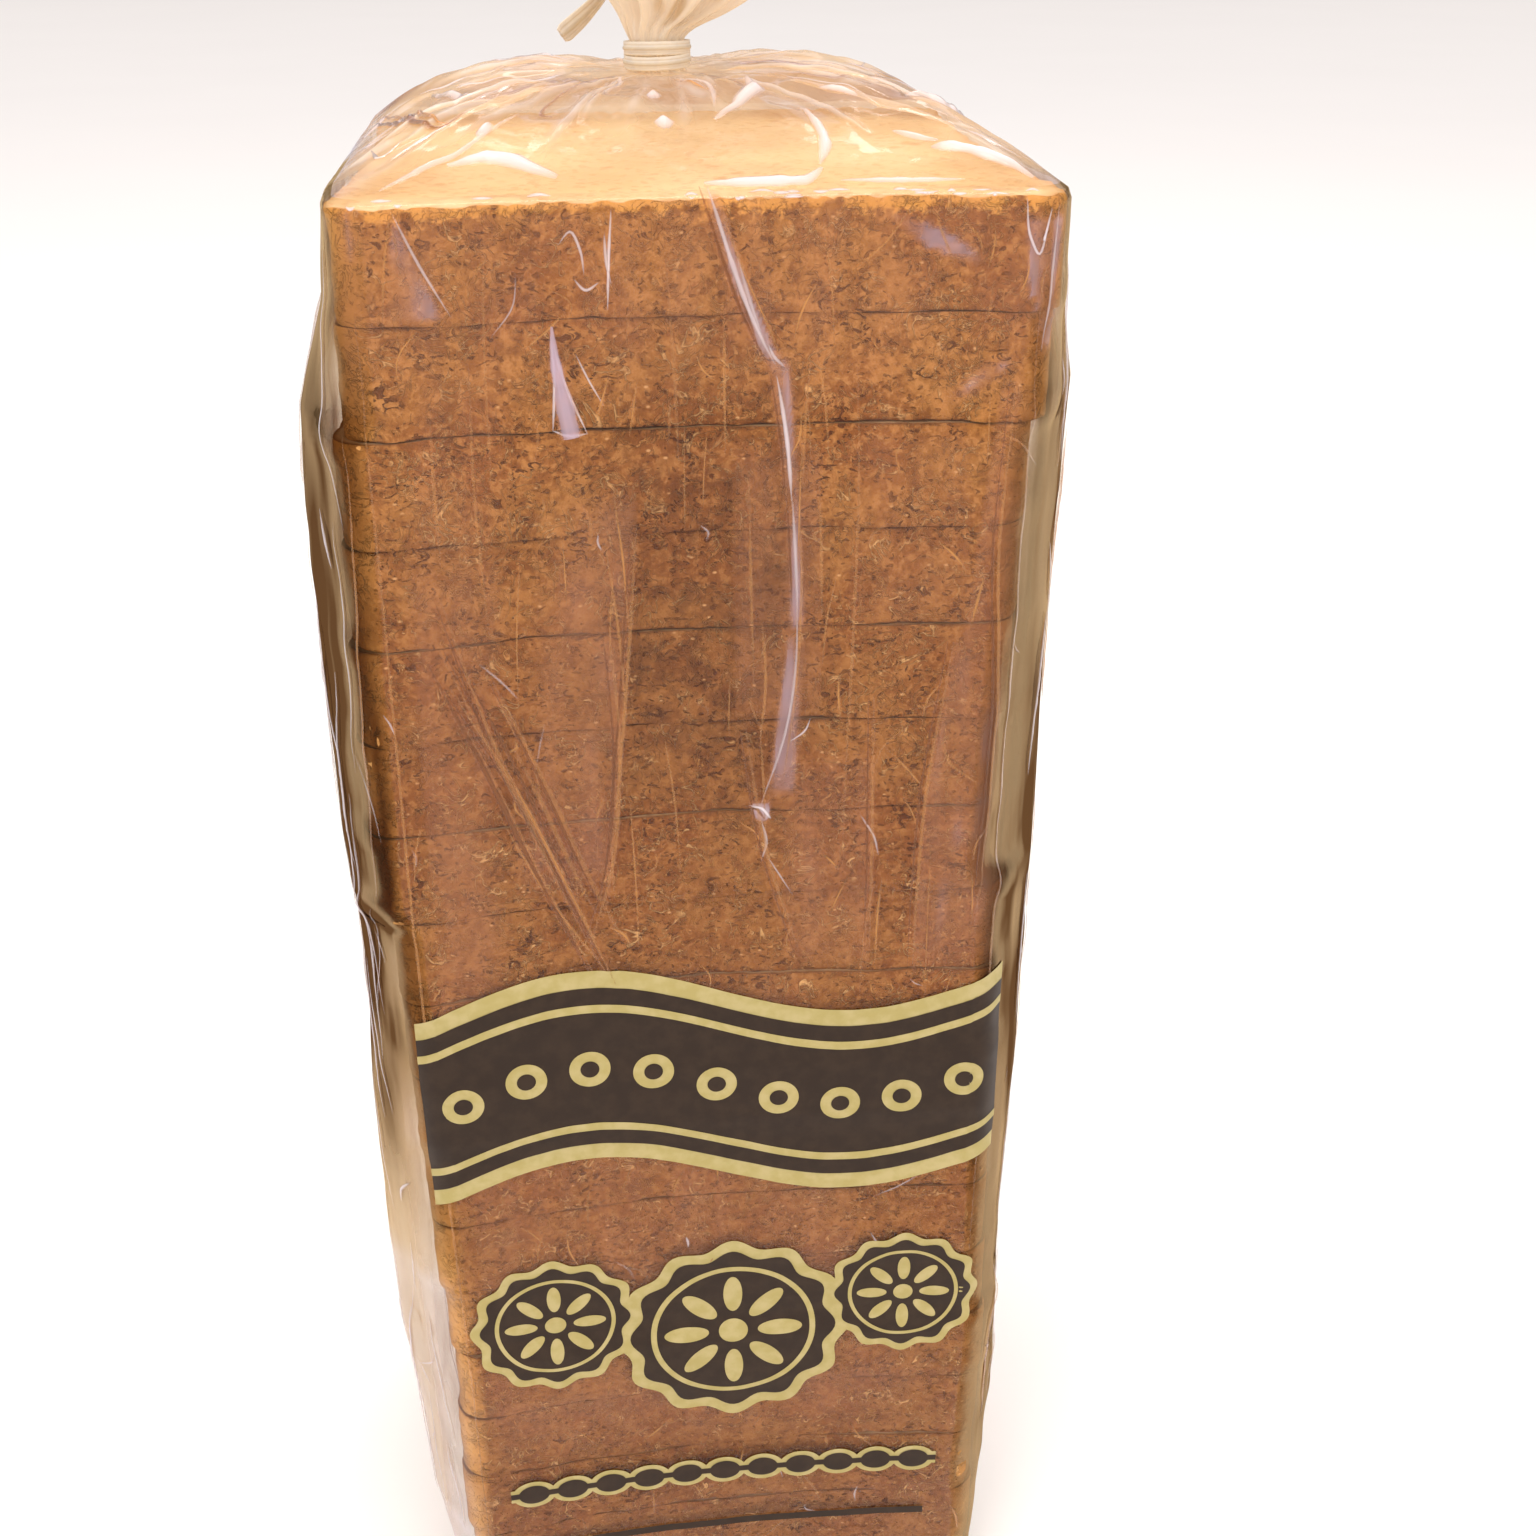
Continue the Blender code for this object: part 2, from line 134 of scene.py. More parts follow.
# Hazy strips in the front film, partly milky film and partly painted reflection: (mm below the top, left
# edge, right edge) going down, then how hazy the strip is and over how many mm it fades to its left, to its
# right and to its ends
STRIPS = (
    (((1, -41.5, -40.8), (8, -43, -38.5), (15.5, -44, -35)), 1.5, 1.4, 1.8, 1.6),
    (((0.5, -49, -44.6), (8, -49, -47)), 1.2, 1.5, 0.8, 1.0),
    (((-1, -0.4, 1.8), (7, 2, 4.4), (13, 4, 6.4), (20, 6.5, 9.4), (23, 8.3, 11.7), (30, 10, 12.4),
      (45, 11.2, 13.4), (64, 12, 14.4)), 2.0, 1.6, 1.6, 2.0),
    (((2.5, 24.5, 28.5), (6.5, 28.5, 36), (9.5, 35, 39.5)), 2.3, 3.6, 3.6, 3.0),
    (((23, 40, 43.5), (25.5, 37, 41.5), (28.5, 34.5, 36.5)), 2.6, 3.2, 3.2, 2.6),
    (((3, 43.8, 50.5), (14, 45, 50), (22, 48, 50)), 2.4, 0.9, 1.2, 2.0),
    (((42, -21, -10.7), (76, -27, -13.6), (106, -32, -17)), 1.0, 9.0, 0.8, 8.0),
    (((36, 3.6, 16.2), (78, 3.4, 16.8)), 0.7, 1.0, 0.8, 6.0),
    (((64, 11.5, 14.5), (92, 8.5, 13)), 1.8, 1.0, 1.0, 3.0),
    (((86, 12, 25), (124, 12.5, 25.6)), 0.9, 7.0, 0.8, 6.0),
    (((66, 37, 46), (96, 33.5, 46), (126, 33, 46)), 1.1, 0.8, 6.0, 8.0),
    (((20, -40, -28), (50, -44, -32), (80, -46, -40)), 0.5, 3.0, 6.0, 6.0),
    (((126, -46, 12), (160, -44, 20), (230, -44, 36)), 0.7, 4.0, 16.0, 14.0),
    (((93.5, 5.6, 9), (96.5, 7.0, 8.6)), 4.0, 0.8, 0.8, 0.8),
    (((150, -96, -55.5), (264, -96, -55.5)), 1.0, 4.0, 1.0, 14.0),
    (((-4, -50, 50), (22, -50, 50)), 0.8, 1.0, 1.0, 22.0),
    (((26, 42, 47), (50, 40, 47), (70, 38, 47)), 0.9, 0.8, 2.0, 8.0),
    (((50, -44, -31), (90, -45, -34), (150, -46, -36)), 0.8, 1.0, 5.0, 12.0),
    (((30, 22, 37), (64, 21, 40)), 0.45, 5.0, 1.0, 12.0),
)
# Folds in the film over the top slice, painted white as highlights: points as (place in the turn, share of
# the way out from the neck), then the half width in mm and how white the fold shows
ROOF_FOLDS = (
    (((1.0, 0.89), (1.9, 0.87), (2.7, 0.91), (3.3, 0.95)), 0.8, 1.0),
    (((0.2, 0.98), (0.7, 0.89), (1.1, 0.78), (1.2, 0.62)), 0.4, 0.5),
    (((6.0, 0.99), (6.8, 0.99), (8.0, 0.97), (8.3, 0.94)), 0.6, 1.0),
    (((9.3, 0.63), (8.9, 0.80), (8.3, 0.93)), 0.45, 0.8),
    (((8.5, 0.99), (9.6, 0.99), (10.8, 0.98)), 0.3, 0.7),
    (((10.9, 0.86), (11.5, 0.88), (11.9, 0.93), (12.2, 0.98)), 0.8, 1.0),
    (((15.2, 0.61), (16.5, 0.75), (18.0, 0.86)), 0.8, 0.9),
    (((11.2, 0.48), (11.4, 0.58)), 0.6, 0.8),
    (((10.6, 0.78), (11.2, 0.84)), 0.5, 0.6),
    (((10.2, 0.30), (9.2, 0.43), (7.6, 0.60), (6.7, 0.67)), 0.7, 0.9),
    (((5.0, 0.43), (5.1, 0.51)), 0.5, 0.8),
    (((5.3, 0.64), (5.4, 0.72)), 0.6, 0.9),
    (((44.8, 0.71), (46.0, 0.62), (47.5, 0.55)), 0.5, 0.6),
    (((0.9, 0.70), (1.05, 0.77)), 0.5, 0.8),
)
rng = np.random.default_rng(871)


def smooth(t):
    """Runs softly from 0 to 1 as t does."""
    t = np.clip(t, 0.0, 1.0)
    return t * t * (3.0 - 2.0 * t)


def unit(vectors):
    """The same vectors with length 1."""
    return vectors / np.linalg.norm(vectors, axis=-1, keepdims=True)


def at(*parts):
    """Points from their coordinates."""
    return np.stack(np.broadcast_arrays(*parts), -1)


def noise(points, size, seed):
    """Smooth noise from 0 to 1: random values on a cubic lattice of that cell size, blended between."""
    table = np.random.default_rng(seed).random((32, 32, 32))
    q = np.asarray(points, float) / size
    low = np.floor(q).astype(int)
    f = smooth(q - low)
    total = np.zeros(q.shape[:-1])
    for dx in (0, 1):
        for dy in (0, 1):
            for dz in (0, 1):
                corner = np.array([dx, dy, dz])
                weight = np.abs(1 - corner - f).prod(-1)
                total += weight * table[tuple(np.moveaxis((low + corner) & 31, -1, 0))]
    return total


def steps(front, corner, side, back):
    """Places round one turn of the loaf, with that many steps on each stretch."""
    counts = (front, corner, side, corner, back, corner, side, corner)
    spans = zip(SEGMENTS[:-1], SEGMENTS[1:], counts)
    return np.concatenate([np.linspace(a, b, n, endpoint=False) for a, b, n in spans])


def arc(t):
    """Millimetres round the loaf from the front's middle, positive to the right."""
    s = np.interp(np.mod(t, 52.0), SEGMENTS, ROUND)
    return np.where(s > GIRTH / 2, s - GIRTH, s)


def turn_at(s):
    """The place in the turn that lies s millimetres round from the front's middle."""
    return np.interp(np.mod(s - ROUND[0], GIRTH) + ROUND[0], ROUND, SEGMENTS)


def beside(s, middle):
    """How far s is from the middle round the loaf, the short way."""
    return np.mod(s - middle + GIRTH / 2, GIRTH) - GIRTH / 2


def stretch(t):
    """Which stretch of the turn a place is on, 0 to 7, and how far along it, 0 to 1."""
    k = np.clip(np.searchsorted(SEGMENTS, t, side="right") - 1, 0, 7)
    return k, (t - SEGMENTS[k]) / (SEGMENTS[k + 1] - SEGMENTS[k])


def wing_share(share):
    """How far out slack film stands at a share of a side's depth: 0 in front, 1 at its peak, less behind."""
    return np.where(share < WING_PEAK, smooth(share / WING_PEAK),
                    1.0 + (WING_REST - 1.0) * smooth((share - WING_PEAK) / (1.0 - WING_PEAK)))


def outline(t, sx, sy, gap, hollow, side_hollow, radius):
    """A rounded square with caved-in sides. Gives x, y, the outward direction, and which stretch it is."""
    t = np.mod(t, 52.0)
    left, right = sx - HALF_W - gap, sx + HALF_W + gap
    front, back = sy - HALF_D - gap, sy + HALF_D + gap
    k, f = stretch(t)
    bow = 4.0 * f * (1.0 - f)
    r = radius
    a = -0.5 * math.pi + (k // 2 + f) * 0.5 * math.pi
    corners = [k == 1, k == 3, k == 5, k == 7]
    cx = np.select(corners, [right - r, right - r, left + r, left + r])
    cy = np.select(corners, [front + r, back - r, back - r, front + r])
    flats = [k == 0, k == 2, k == 4, k == 6]
    wide, deep = right - left - 2 * r, back - front - 2 * r
    x = np.select(flats, [left + r + wide * f, right - side_hollow * bow, right - r - wide * f,
                          left + side_hollow * bow], cx + r * np.cos(a))
    y = np.select(flats, [front + hollow * bow, front + r + deep * f, back - hollow * bow,
                          back - r - deep * f], cy + r * np.sin(a))
    nx = np.select(flats, [0 * f, 1 + 0 * f, 0 * f, -1 + 0 * f], np.cos(a))
    ny = np.select(flats, [-1 + 0 * f, 0 * f, 1 + 0 * f, 0 * f], np.sin(a))
    return x, y, nx, ny, k


def shift_knots(values):
    """A slice's shift holds over its height and slides to the next slice's near the cut."""
    lows = [TOP - (i + 1) * THICK for i in range(SLICES - 1, -1, -1)]
    return [low + edge for low in lows for edge in (2.6, THICK - 2.6)], np.repeat(values[::-1], 2)


KNOTS_X = shift_knots(SHIFT_X)
KNOTS_Y = shift_knots(SHIFT_Y)
SHIFT_STEPS = np.abs(np.diff((SHIFT_X[0],) + SHIFT_X + (SHIFT_X[-1],)))


def slid(s, sx):
    """How far a slice's shift moves the film round the loaf: one way in front, the other at the back."""
    return sx * np.interp(np.abs(s), ROUND[2:4], [1.0, -1.0])


def draw(*spans):
    """A random number from each span."""
    return [rng.uniform(*span) for span in spans]


def loose_creases():
    """Creases of the sides and the back, mostly upright and slightly bent."""
    made = []
    for _ in range(64):
        s, d, length = draw((58.0, 339.0), (2.0, 235.0), (25.0, 110.0))
        length = min(length, LOWEST - d)
        lean, bend = rng.normal(0.0, 0.14), rng.normal(0.0, 4.0)
        u = np.linspace(0.0, 1.0, 5)
        points = at(s + lean * length * (u - 0.5) + bend * u * (1 - u), d + length * u)
        width, height, pale = draw((0.9, 2.4), (0.2, 0.8), (0.15, 0.7))
        made.append((points, width, pale, height))
    return made


def loose_strips():
    """Hazy strips of the sides and the back, each crisp on one side."""
    made = []
    for _ in range(34):
        s, d, length = draw((60.0, 330.0), (2.0, 200.0), (30.0, 110.0))
        wide, lean = rng.uniform(3.0, 11.0), rng.normal(0.0, 5.0)
        edge = ((d, s, s + wide), (d + length, s + lean, s + lean + 0.8 * wide))
        crisp = (0.9, 0.7 * wide) if rng.random() < 0.5 else (0.7 * wide, 0.9)
        made.append((edge, rng.uniform(0.5, 1.6), *crisp, 8.0))
    return made


LOOSE_CREASES = loose_creases()
ALL_STRIPS = STRIPS + tuple(loose_strips())


def crease_field(s, depth):
    """Height and whiteness of the film's wide creases, the whiteness partly a painted highlight: along each
    line a soft ridge, a bell curve of the distance from the line over its half width, that runs out at the
    line's ends."""
    high, white = np.zeros(s.shape), np.zeros(s.shape)
    for points, width, pale, *height in list(CREASES) + LOOSE_CREASES:
        if not height:
            continue
        p = np.array(points, float)
        across = beside(s, p[:, 0].mean())
        reach = 4.0 * width
        near = np.abs(across) < np.ptp(p[:, 0]) + reach
        near = near & (depth > p[0, 1] - reach) & (depth < p[-1, 1] + reach)
        q = at(across[near], depth[near])
        p[:, 0] -= p[:, 0].mean()
        best, place = np.full(len(q), 1e9), np.zeros(len(q))
        for k in range(len(p) - 1):
            run = p[k + 1] - p[k]
            u = np.clip(((q - p[k]) @ run) / (run @ run), 0, 1)
            away = np.hypot(*(q - p[k] - u[:, None] * run).T)
            closer = away < best
            best[closer] = away[closer]
            place[closer] = ((k + u) / (len(p) - 1))[closer]
        ridge = np.exp(-(best / width) ** 2) * (0.2 + 0.8 * smooth(place / 0.15) * smooth((1 - place) / 0.15))
        high[near] = np.maximum(high[near], height[0] * ridge)
        white[near] = np.maximum(white[near], pale * ridge)
    return high, white


def haze_field(s, depth):
    """How milky the film is, partly painted reflection: strips with crisp or soft edges, each streaked along
    its run.
    """
    haze = np.zeros(s.shape)
    for edge, strength, soft_left, soft_right, soft_end in ALL_STRIPS:
        d, left, right = np.array(edge, float).T
        centre = (left.mean() + right.mean()) / 2
        place = beside(s, centre) + centre
        inside = smooth((place - np.interp(depth, d, left)) / soft_left + 0.5)
        inside = inside * smooth((np.interp(depth, d, right) - place) / soft_right + 0.5)
        inside = inside * smooth((depth - d[0]) / soft_end + 0.5) * smooth((d[-1] - depth) / soft_end + 0.5)
        haze = np.maximum(haze, strength * inside)
    streak = noise(at(s, depth * 0.12, 0.0), 1.7, 61) + 0.5 * noise(at(s, depth, 0.0), 5.0, 62)
    return haze * (0.35 + 0.87 * streak)


def film(t, z):
    """The film round the loaf at place t of a turn and height z: the loaf's outline with a small gap, bowed
    less than the bread, pushed out at the slack sides, drawn in at base and top edge, waved and creased.
    Gives the points, the outward way, how white it is (whitened film and painted highlight), how hazy it is
    (milky film and painted reflection), and how brown its slack sides are, as painted shade and reflection."""
    t, z = np.broadcast_arrays(np.asarray(t, float), np.asarray(z, float))
    depth = TOP - z
    below = depth / THICK
    sx, sy = np.interp(z, *KNOTS_X), np.interp(z, *KNOTS_Y)
    inset = np.interp(z, [0, 0.35, 0.9, 2.6, TOP - 1.6, TOP - 0.3, TOP + 0.5],
                      [2.6, 1.5, 0.7, 0, 0, 0.5, 1.7])
    cut = np.abs(np.mod(below + 0.5, 1.0) - 0.5) * THICK
    x, y, nx, ny, k = outline(t, sx, sy, GAP, HOLLOW - BRIDGE, 0.0, CORNER)
    slack = np.clip(wing_share((y - sy) / (2.0 * HALF_D) + 0.5), 0, 1) * (np.abs(nx) > 0.1)
    groove = 0.03 * np.exp(-(cut / 1.6) ** 2) * (below > 0.5) * (below < SLICES - 0.5) * (1.0 - slack)
    x, y = x - nx * (inset + groove), y - ny * (inset + groove)
    front, back = sy - HALF_D - GAP + inset, sy + HALF_D + GAP - inset
    push_l = np.maximum(sx - HALF_W - GAP - np.interp(below, *zip(*WING_L)), 0)
    push_r = np.maximum(np.interp(below, *zip(*WING_R)) - sx - HALF_W - GAP, 0)
    share = np.clip(wing_share((y - front) / (back - front)) * np.abs(nx), 0, 1)
    step = SHIFT_STEPS[np.clip(np.rint(below), 0, SLICES).astype(int)]
    x = x + nx * 0.6 * step * np.exp(-(cut / 3.0) ** 2) * (1.0 - share)
    side = (k > 0) & (k != 4)
    x = x + np.where(side & (nx > 0), push_r * share, 0) - np.where(side & (nx < 0), push_l * share, 0)
    s = arc(t)
    s = s + slid(s, sx)
    high, white = crease_field(s, depth)
    loose = np.where(k == 0, 0.25, np.where(k == 4, 0.45, 0.35 + 0.65 * share))
    wave = noise(at(x, y, depth * 0.18), 6.0, 5) - 0.5
    wave += 0.5 * (noise(at(x, y, depth * 0.35 + 90.0), 2.6, 6) - 0.5)
    fade = smooth(z / 6.0) * smooth((TOP - z + 1.0) / 4.0)
    out = (high + 1.1 * wave * loose - np.where(k == 0, 0.15, 0.25)) * fade
    way = at(nx, ny, 0.0)
    p = at(x, y, z) + way * out[..., None]
    # How brown the slack sides are at each depth, left and right: painted shade, with a painted dark
    # reflection of the surroundings at a glancing view
    tint_l = np.interp(below, [0, 1, 2, 3.5, 8.5, 10.5, 12, 18], [0.2, 0.4, 0.8, 1.05, 1.1, 0.5, 0.05, 0.0])
    tint_r = np.interp(below, [0, 1.5, 2, 4, 5, 9, 12, 18], [0.3, 0.4, 0.65, 0.7, 1.0, 0.95, 0.6, 0.4])
    wing = np.where(nx < -0.1, tint_l, tint_r) * smooth((np.abs(nx) - 0.02) / 0.35) * smooth((2.0 - y) / 26.0)
    wing = wing * (0.6 + 0.75 * noise(at(s, depth * 0.14, 0.0), 2.4, 63))
    return p, way, white, haze_field(s, depth), wing


def pleat(t):
    """The folds round the neck, some deeper than others, as in the part."""
    turn = np.mod(t, 52.0) / 4.0
    n = np.arange(0, PLEATS + 0.5, 0.5)
    shares = np.array(PLEAT_SHARES)[(n + 0.5).astype(int) % PLEATS]
    return np.interp(turn, n, shares) * np.cos(TAU * turn)


def neck_ring(t, middle, rx, ry, ruffle, fine, phase=0.0):
    """An oval ring with the neck's folds and finer ones between."""
    angle = -0.75 * math.pi + 0.12 + TAU * t / 52.0
    slow = np.cos(3.0 * angle + 0.6)
    small = np.cos(29.0 * TAU * t / 52.0 + 1.7 + phase) + 0.6 * np.cos(41.0 * TAU * t / 52.0 + 0.4 - phase)
    grow = ruffle * (pleat(t) + 0.3 * slow) + fine * small
    turned = angle + 0.10 * slow
    return middle + (rx + grow) * np.cos(turned), (ry + grow) * np.sin(turned), slow


def tent_lines():
    """Fine creases that run from the neck outwards: place, half width in steps, height, start, end, drift."""
    local = np.random.default_rng(42)
    spans = ((0, 52), (0.10, 0.34), (0.25, 1.0), (0.02, 0.3), (0.45, 1.02))
    return [(*[local.uniform(*span) for span in spans], local.normal(0, 1.2)) for _ in range(60)]


def roof(t, share):
    """From the loaf's top edge (share 1) to the neck (share 0): a dome with pleats and fine creases that run
    to the neck. Gives the points and how white they are, partly whitened film and partly painted highlight."""
    t, share = np.broadcast_arrays(np.asarray(t, float), np.asarray(share, float))
    edge = film(t, TOP + GAP)[0]
    nx, ny, _ = neck_ring(t, NECK_X, NECK_R + 0.3, NECK_R + 0.3, 0.15, 0.12)
    x = nx + (edge[..., 0] - nx) * share
    y = ny + (edge[..., 1] - ny) * share
    side = smooth(0.5 + (x + 0.4 * y) / 60.0) * smooth(4.0 * share)
    lift = (TENT_H + 0.9 * side) * (1.0 - share ** 3) * (1.0 - GAP / TENT_H)
    fold = 0.9 * pleat(t) * np.sin(math.pi * share) * smooth(2.0 * share)
    ring = np.sin(math.pi * np.clip(share, 0, 1)) ** 0.7
    sharp, calm = np.zeros(share.shape), 1.0 - 0.65 * smooth((y - 5.0) / 25.0)
    for place, wide, high, start, end, drift in tent_lines():
        away = np.abs(np.mod(t - place - drift * share + 26.0, 52.0) - 26.0)
        line = np.exp(-(away / wide) ** 2) * smooth((share - start) / 0.12) * smooth((end - share) / 0.25)
        sharp = np.maximum(sharp, high * line)
    dent = noise(at(x, y, 0.0), 7.0, 12) + 0.5 * noise(at(x, y, 0.0), 3.0, 13) - 0.75
    z = TOP + GAP + lift + fold + (0.9 * sharp + 1.3 * dent) * calm * ring * smooth((1 - share) / 0.1)
    return at(x, y, z), 0.45 * sharp * ring


def through(table, wanted):
    """Smooth curves through the table's columns against its first one (Catmull-Rom)."""
    table = np.array(table, float)
    keys = table[:, 0]
    i = np.clip(np.searchsorted(keys, wanted, side="right") - 1, 0, len(keys) - 2)
    u = ((wanted - keys[i]) / (keys[i + 1] - keys[i]))[:, None]
    slope = np.gradient(table, keys, axis=0)
    step = (keys[i + 1] - keys[i])[:, None]
    return ((2 * u ** 3 - 3 * u ** 2 + 1) * table[i] + (u ** 3 - 2 * u ** 2 + u) * step * slope[i]
            + (3 * u ** 2 - 2 * u ** 3) * table[i + 1] + (u ** 3 - u ** 2) * step * slope[i + 1])


def curve(points, count):
    """Evenly spread points on a smooth curve through the given ones."""
    points = np.asarray(points, float)
    keys = np.concatenate([[0], np.cumsum(np.linalg.norm(np.diff(points, axis=0), axis=1))])
    return through(np.column_stack([keys, points]), np.linspace(0, keys[-1], count))[:, 1:]


# Meshes


def patch(points, closed=True, low=None, high=None, values=None, slot=0):
    """Part of a mesh: a grid of points in rows, closed round each row if asked, with a fan to a tip at an
    end. values are numbers at its points, and slot is its place in the list of materials."""
    rows, cols = points.shape[:2]
    flat = points.reshape(-1, 3)
    index = np.arange(rows * cols).reshape(rows, cols)
    after = np.roll(index, -1, axis=1) if closed else index[:, 1:]
    here = index if closed else index[:, :-1]
    quads = np.stack([here[:-1], after[:-1], after[1:], here[1:]], -1).reshape(-1, 4)
    loops, sizes = [quads.ravel()], [np.full(len(quads), 4)]
    marks = {key: np.broadcast_to(value, (rows, cols)).ravel() for key, value in (values or {}).items()}
    for tip, row, flip in ((low, 0, True), (high, rows - 1, False)):
        if tip is None:
            continue
        fan = np.stack([here[row], after[row], np.full(here.shape[1], len(flat))], -1)
        flat = np.vstack([flat, tip])
        marks = {key: np.append(value, value[index[row]].mean()) for key, value in marks.items()}
        loops.append((fan[:, ::-1] if flip else fan).ravel())
        sizes.append(np.full(len(fan), 3))
    return flat, np.concatenate(loops), np.concatenate(sizes), marks, slot


def piece(name, patches, materials, body="root", node="bagged_loaf"):
    """A mesh object made of patches."""
    starts = np.cumsum([0] + [len(p[0]) for p in patches])
    points = np.concatenate([p[0] for p in patches])
    loops = np.concatenate([p[1] + start for p, start in zip(patches, starts)])
    sizes = np.concatenate([p[2] for p in patches])
    slots = np.concatenate([np.full(len(p[2]), p[4]) for p in patches])
    mesh = bpy.data.meshes.new(name)
    mesh.vertices.add(len(points))
    mesh.vertices.foreach_set("co", (points * MM).astype(np.float32).ravel())
    mesh.loops.add(len(loops))
    mesh.loops.foreach_set("vertex_index", loops.astype(np.int32))
    mesh.polygons.add(len(sizes))
    mesh.polygons.foreach_set("loop_start", (np.cumsum(sizes) - sizes).astype(np.int32))
    mesh.polygons.foreach_set("use_smooth", np.ones(len(sizes), bool))
    for material in materials:
        mesh.materials.append(material)
    mesh.polygons.foreach_set("material_index", slots.astype(np.int32))
    for key in sorted({key for p in patches for key in p[3]}):
        data = np.concatenate([p[3].get(key, np.zeros(len(p[0]))) for p in patches])
        mesh.attributes.new(key, "FLOAT", "POINT").data.foreach_set("value", data.astype(np.float32))
    mesh.update()
    mesh.validate()
    made = bpy.data.objects.new(name, mesh)
    bpy.context.scene.collection.objects.link(made)
    if body:
        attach(made, body)
        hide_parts(node)
    return made


# Materials


def colour(hexa):
    """An sRGB hex colour as linear values."""
    parts = [int(hexa[i:i + 2], 16) / 255.0 for i in (1, 3, 5)]
    return tuple(c / 12.92 if c <= 0.04045 else ((c + 0.055) / 1.055) ** 2.4 for c in parts) + (1.0,)


class Look:
    """A material's node tree. add() puts in a node, sets its settings and inputs and links sockets. A text
    input is a hex colour."""

    def __init__(self, name):
        self.material = bpy.data.materials.new(name)
        self.material.use_nodes = True
        self.tree = self.material.node_tree
        self.tree.nodes.clear()

    def add(self, kind, inputs=None, out=0, **settings):
        node = self.tree.nodes.new("ShaderNode" + kind)
        for key, value in settings.items():
            setattr(node, key, value)
        for key, value in (inputs or {}).items():
            if isinstance(value, bpy.types.NodeSocket):
                self.tree.links.new(value, node.inputs[key])
            else:
                node.inputs[key].default_value = colour(value) if isinstance(value, str) else value
        return node.outputs[out]

    def maths(self, what, a, b=0.0, clamp=False):
        return self.add("Math", {0: a, 1: b}, operation=what, use_clamp=clamp)

    def times(self, a, b):
        return self.maths("MULTIPLY", a, b)

    def mix(self, factor, a, b, blend="MIX"):
        return self.add("Mix", {0: factor, 6: a, 7: b}, out=2, data_type="RGBA", blend_type=blend)

    def tint(self, base, factor, hexa, share=1.0):
        return self.mix(factor if share == 1.0 else self.times(factor, share), base, hexa)

    def noise(self, where, scale, detail=3.0, rough=0.55, distort=0.0):
        return self.add("TexNoise", {"Vector": where, "Scale": scale, "Detail": detail, "Roughness": rough,
                                     "Distortion": distort})

    def marks(self, base, value, none, full, share, hexa):
        """Tints the base by that share where the value is at full, and not at all where it is at none."""
        return self.tint(base, self.span(value, none, full), hexa, share)

    def thread(self, where, scale, distort, half):
        """Thin curled lines: where a noise passes its middle value."""
        away = self.maths("SUBTRACT", self.noise(where, scale, 2.0, 0.6, distort), 0.5)
        return self.span(self.maths("ABSOLUTE", away), half, 0.0)

    def cells(self, where, scale):
        return self.add("TexVoronoi", {"Vector": where, "Scale": scale}, feature="F1")

    def span(self, value, none, full):
        """Runs softly from 0 where the value is none to 1 where it is full, which may be the lower one."""
        return self.add("MapRange", {0: value, 1: none, 2: full}, interpolation_type="SMOOTHSTEP")

    def split(self, where):
        node = self.tree.nodes.new("ShaderNodeSeparateXYZ")
        self.tree.links.new(where, node.inputs[0])
        return node.outputs

    def attribute(self, name):
        return self.add("Attribute", out=2, attribute_name=name)

    def place(self):
        return self.add("TexCoord", out=3)

    def stretched(self, where, x, y, z):
        return self.add("Mapping", {"Vector": where, "Scale": (x, y, z)})

    def finish(self, shader):
        self.tree.links.new(shader, self.tree.nodes.new("ShaderNodeOutputMaterial").inputs[0])
        return self.material


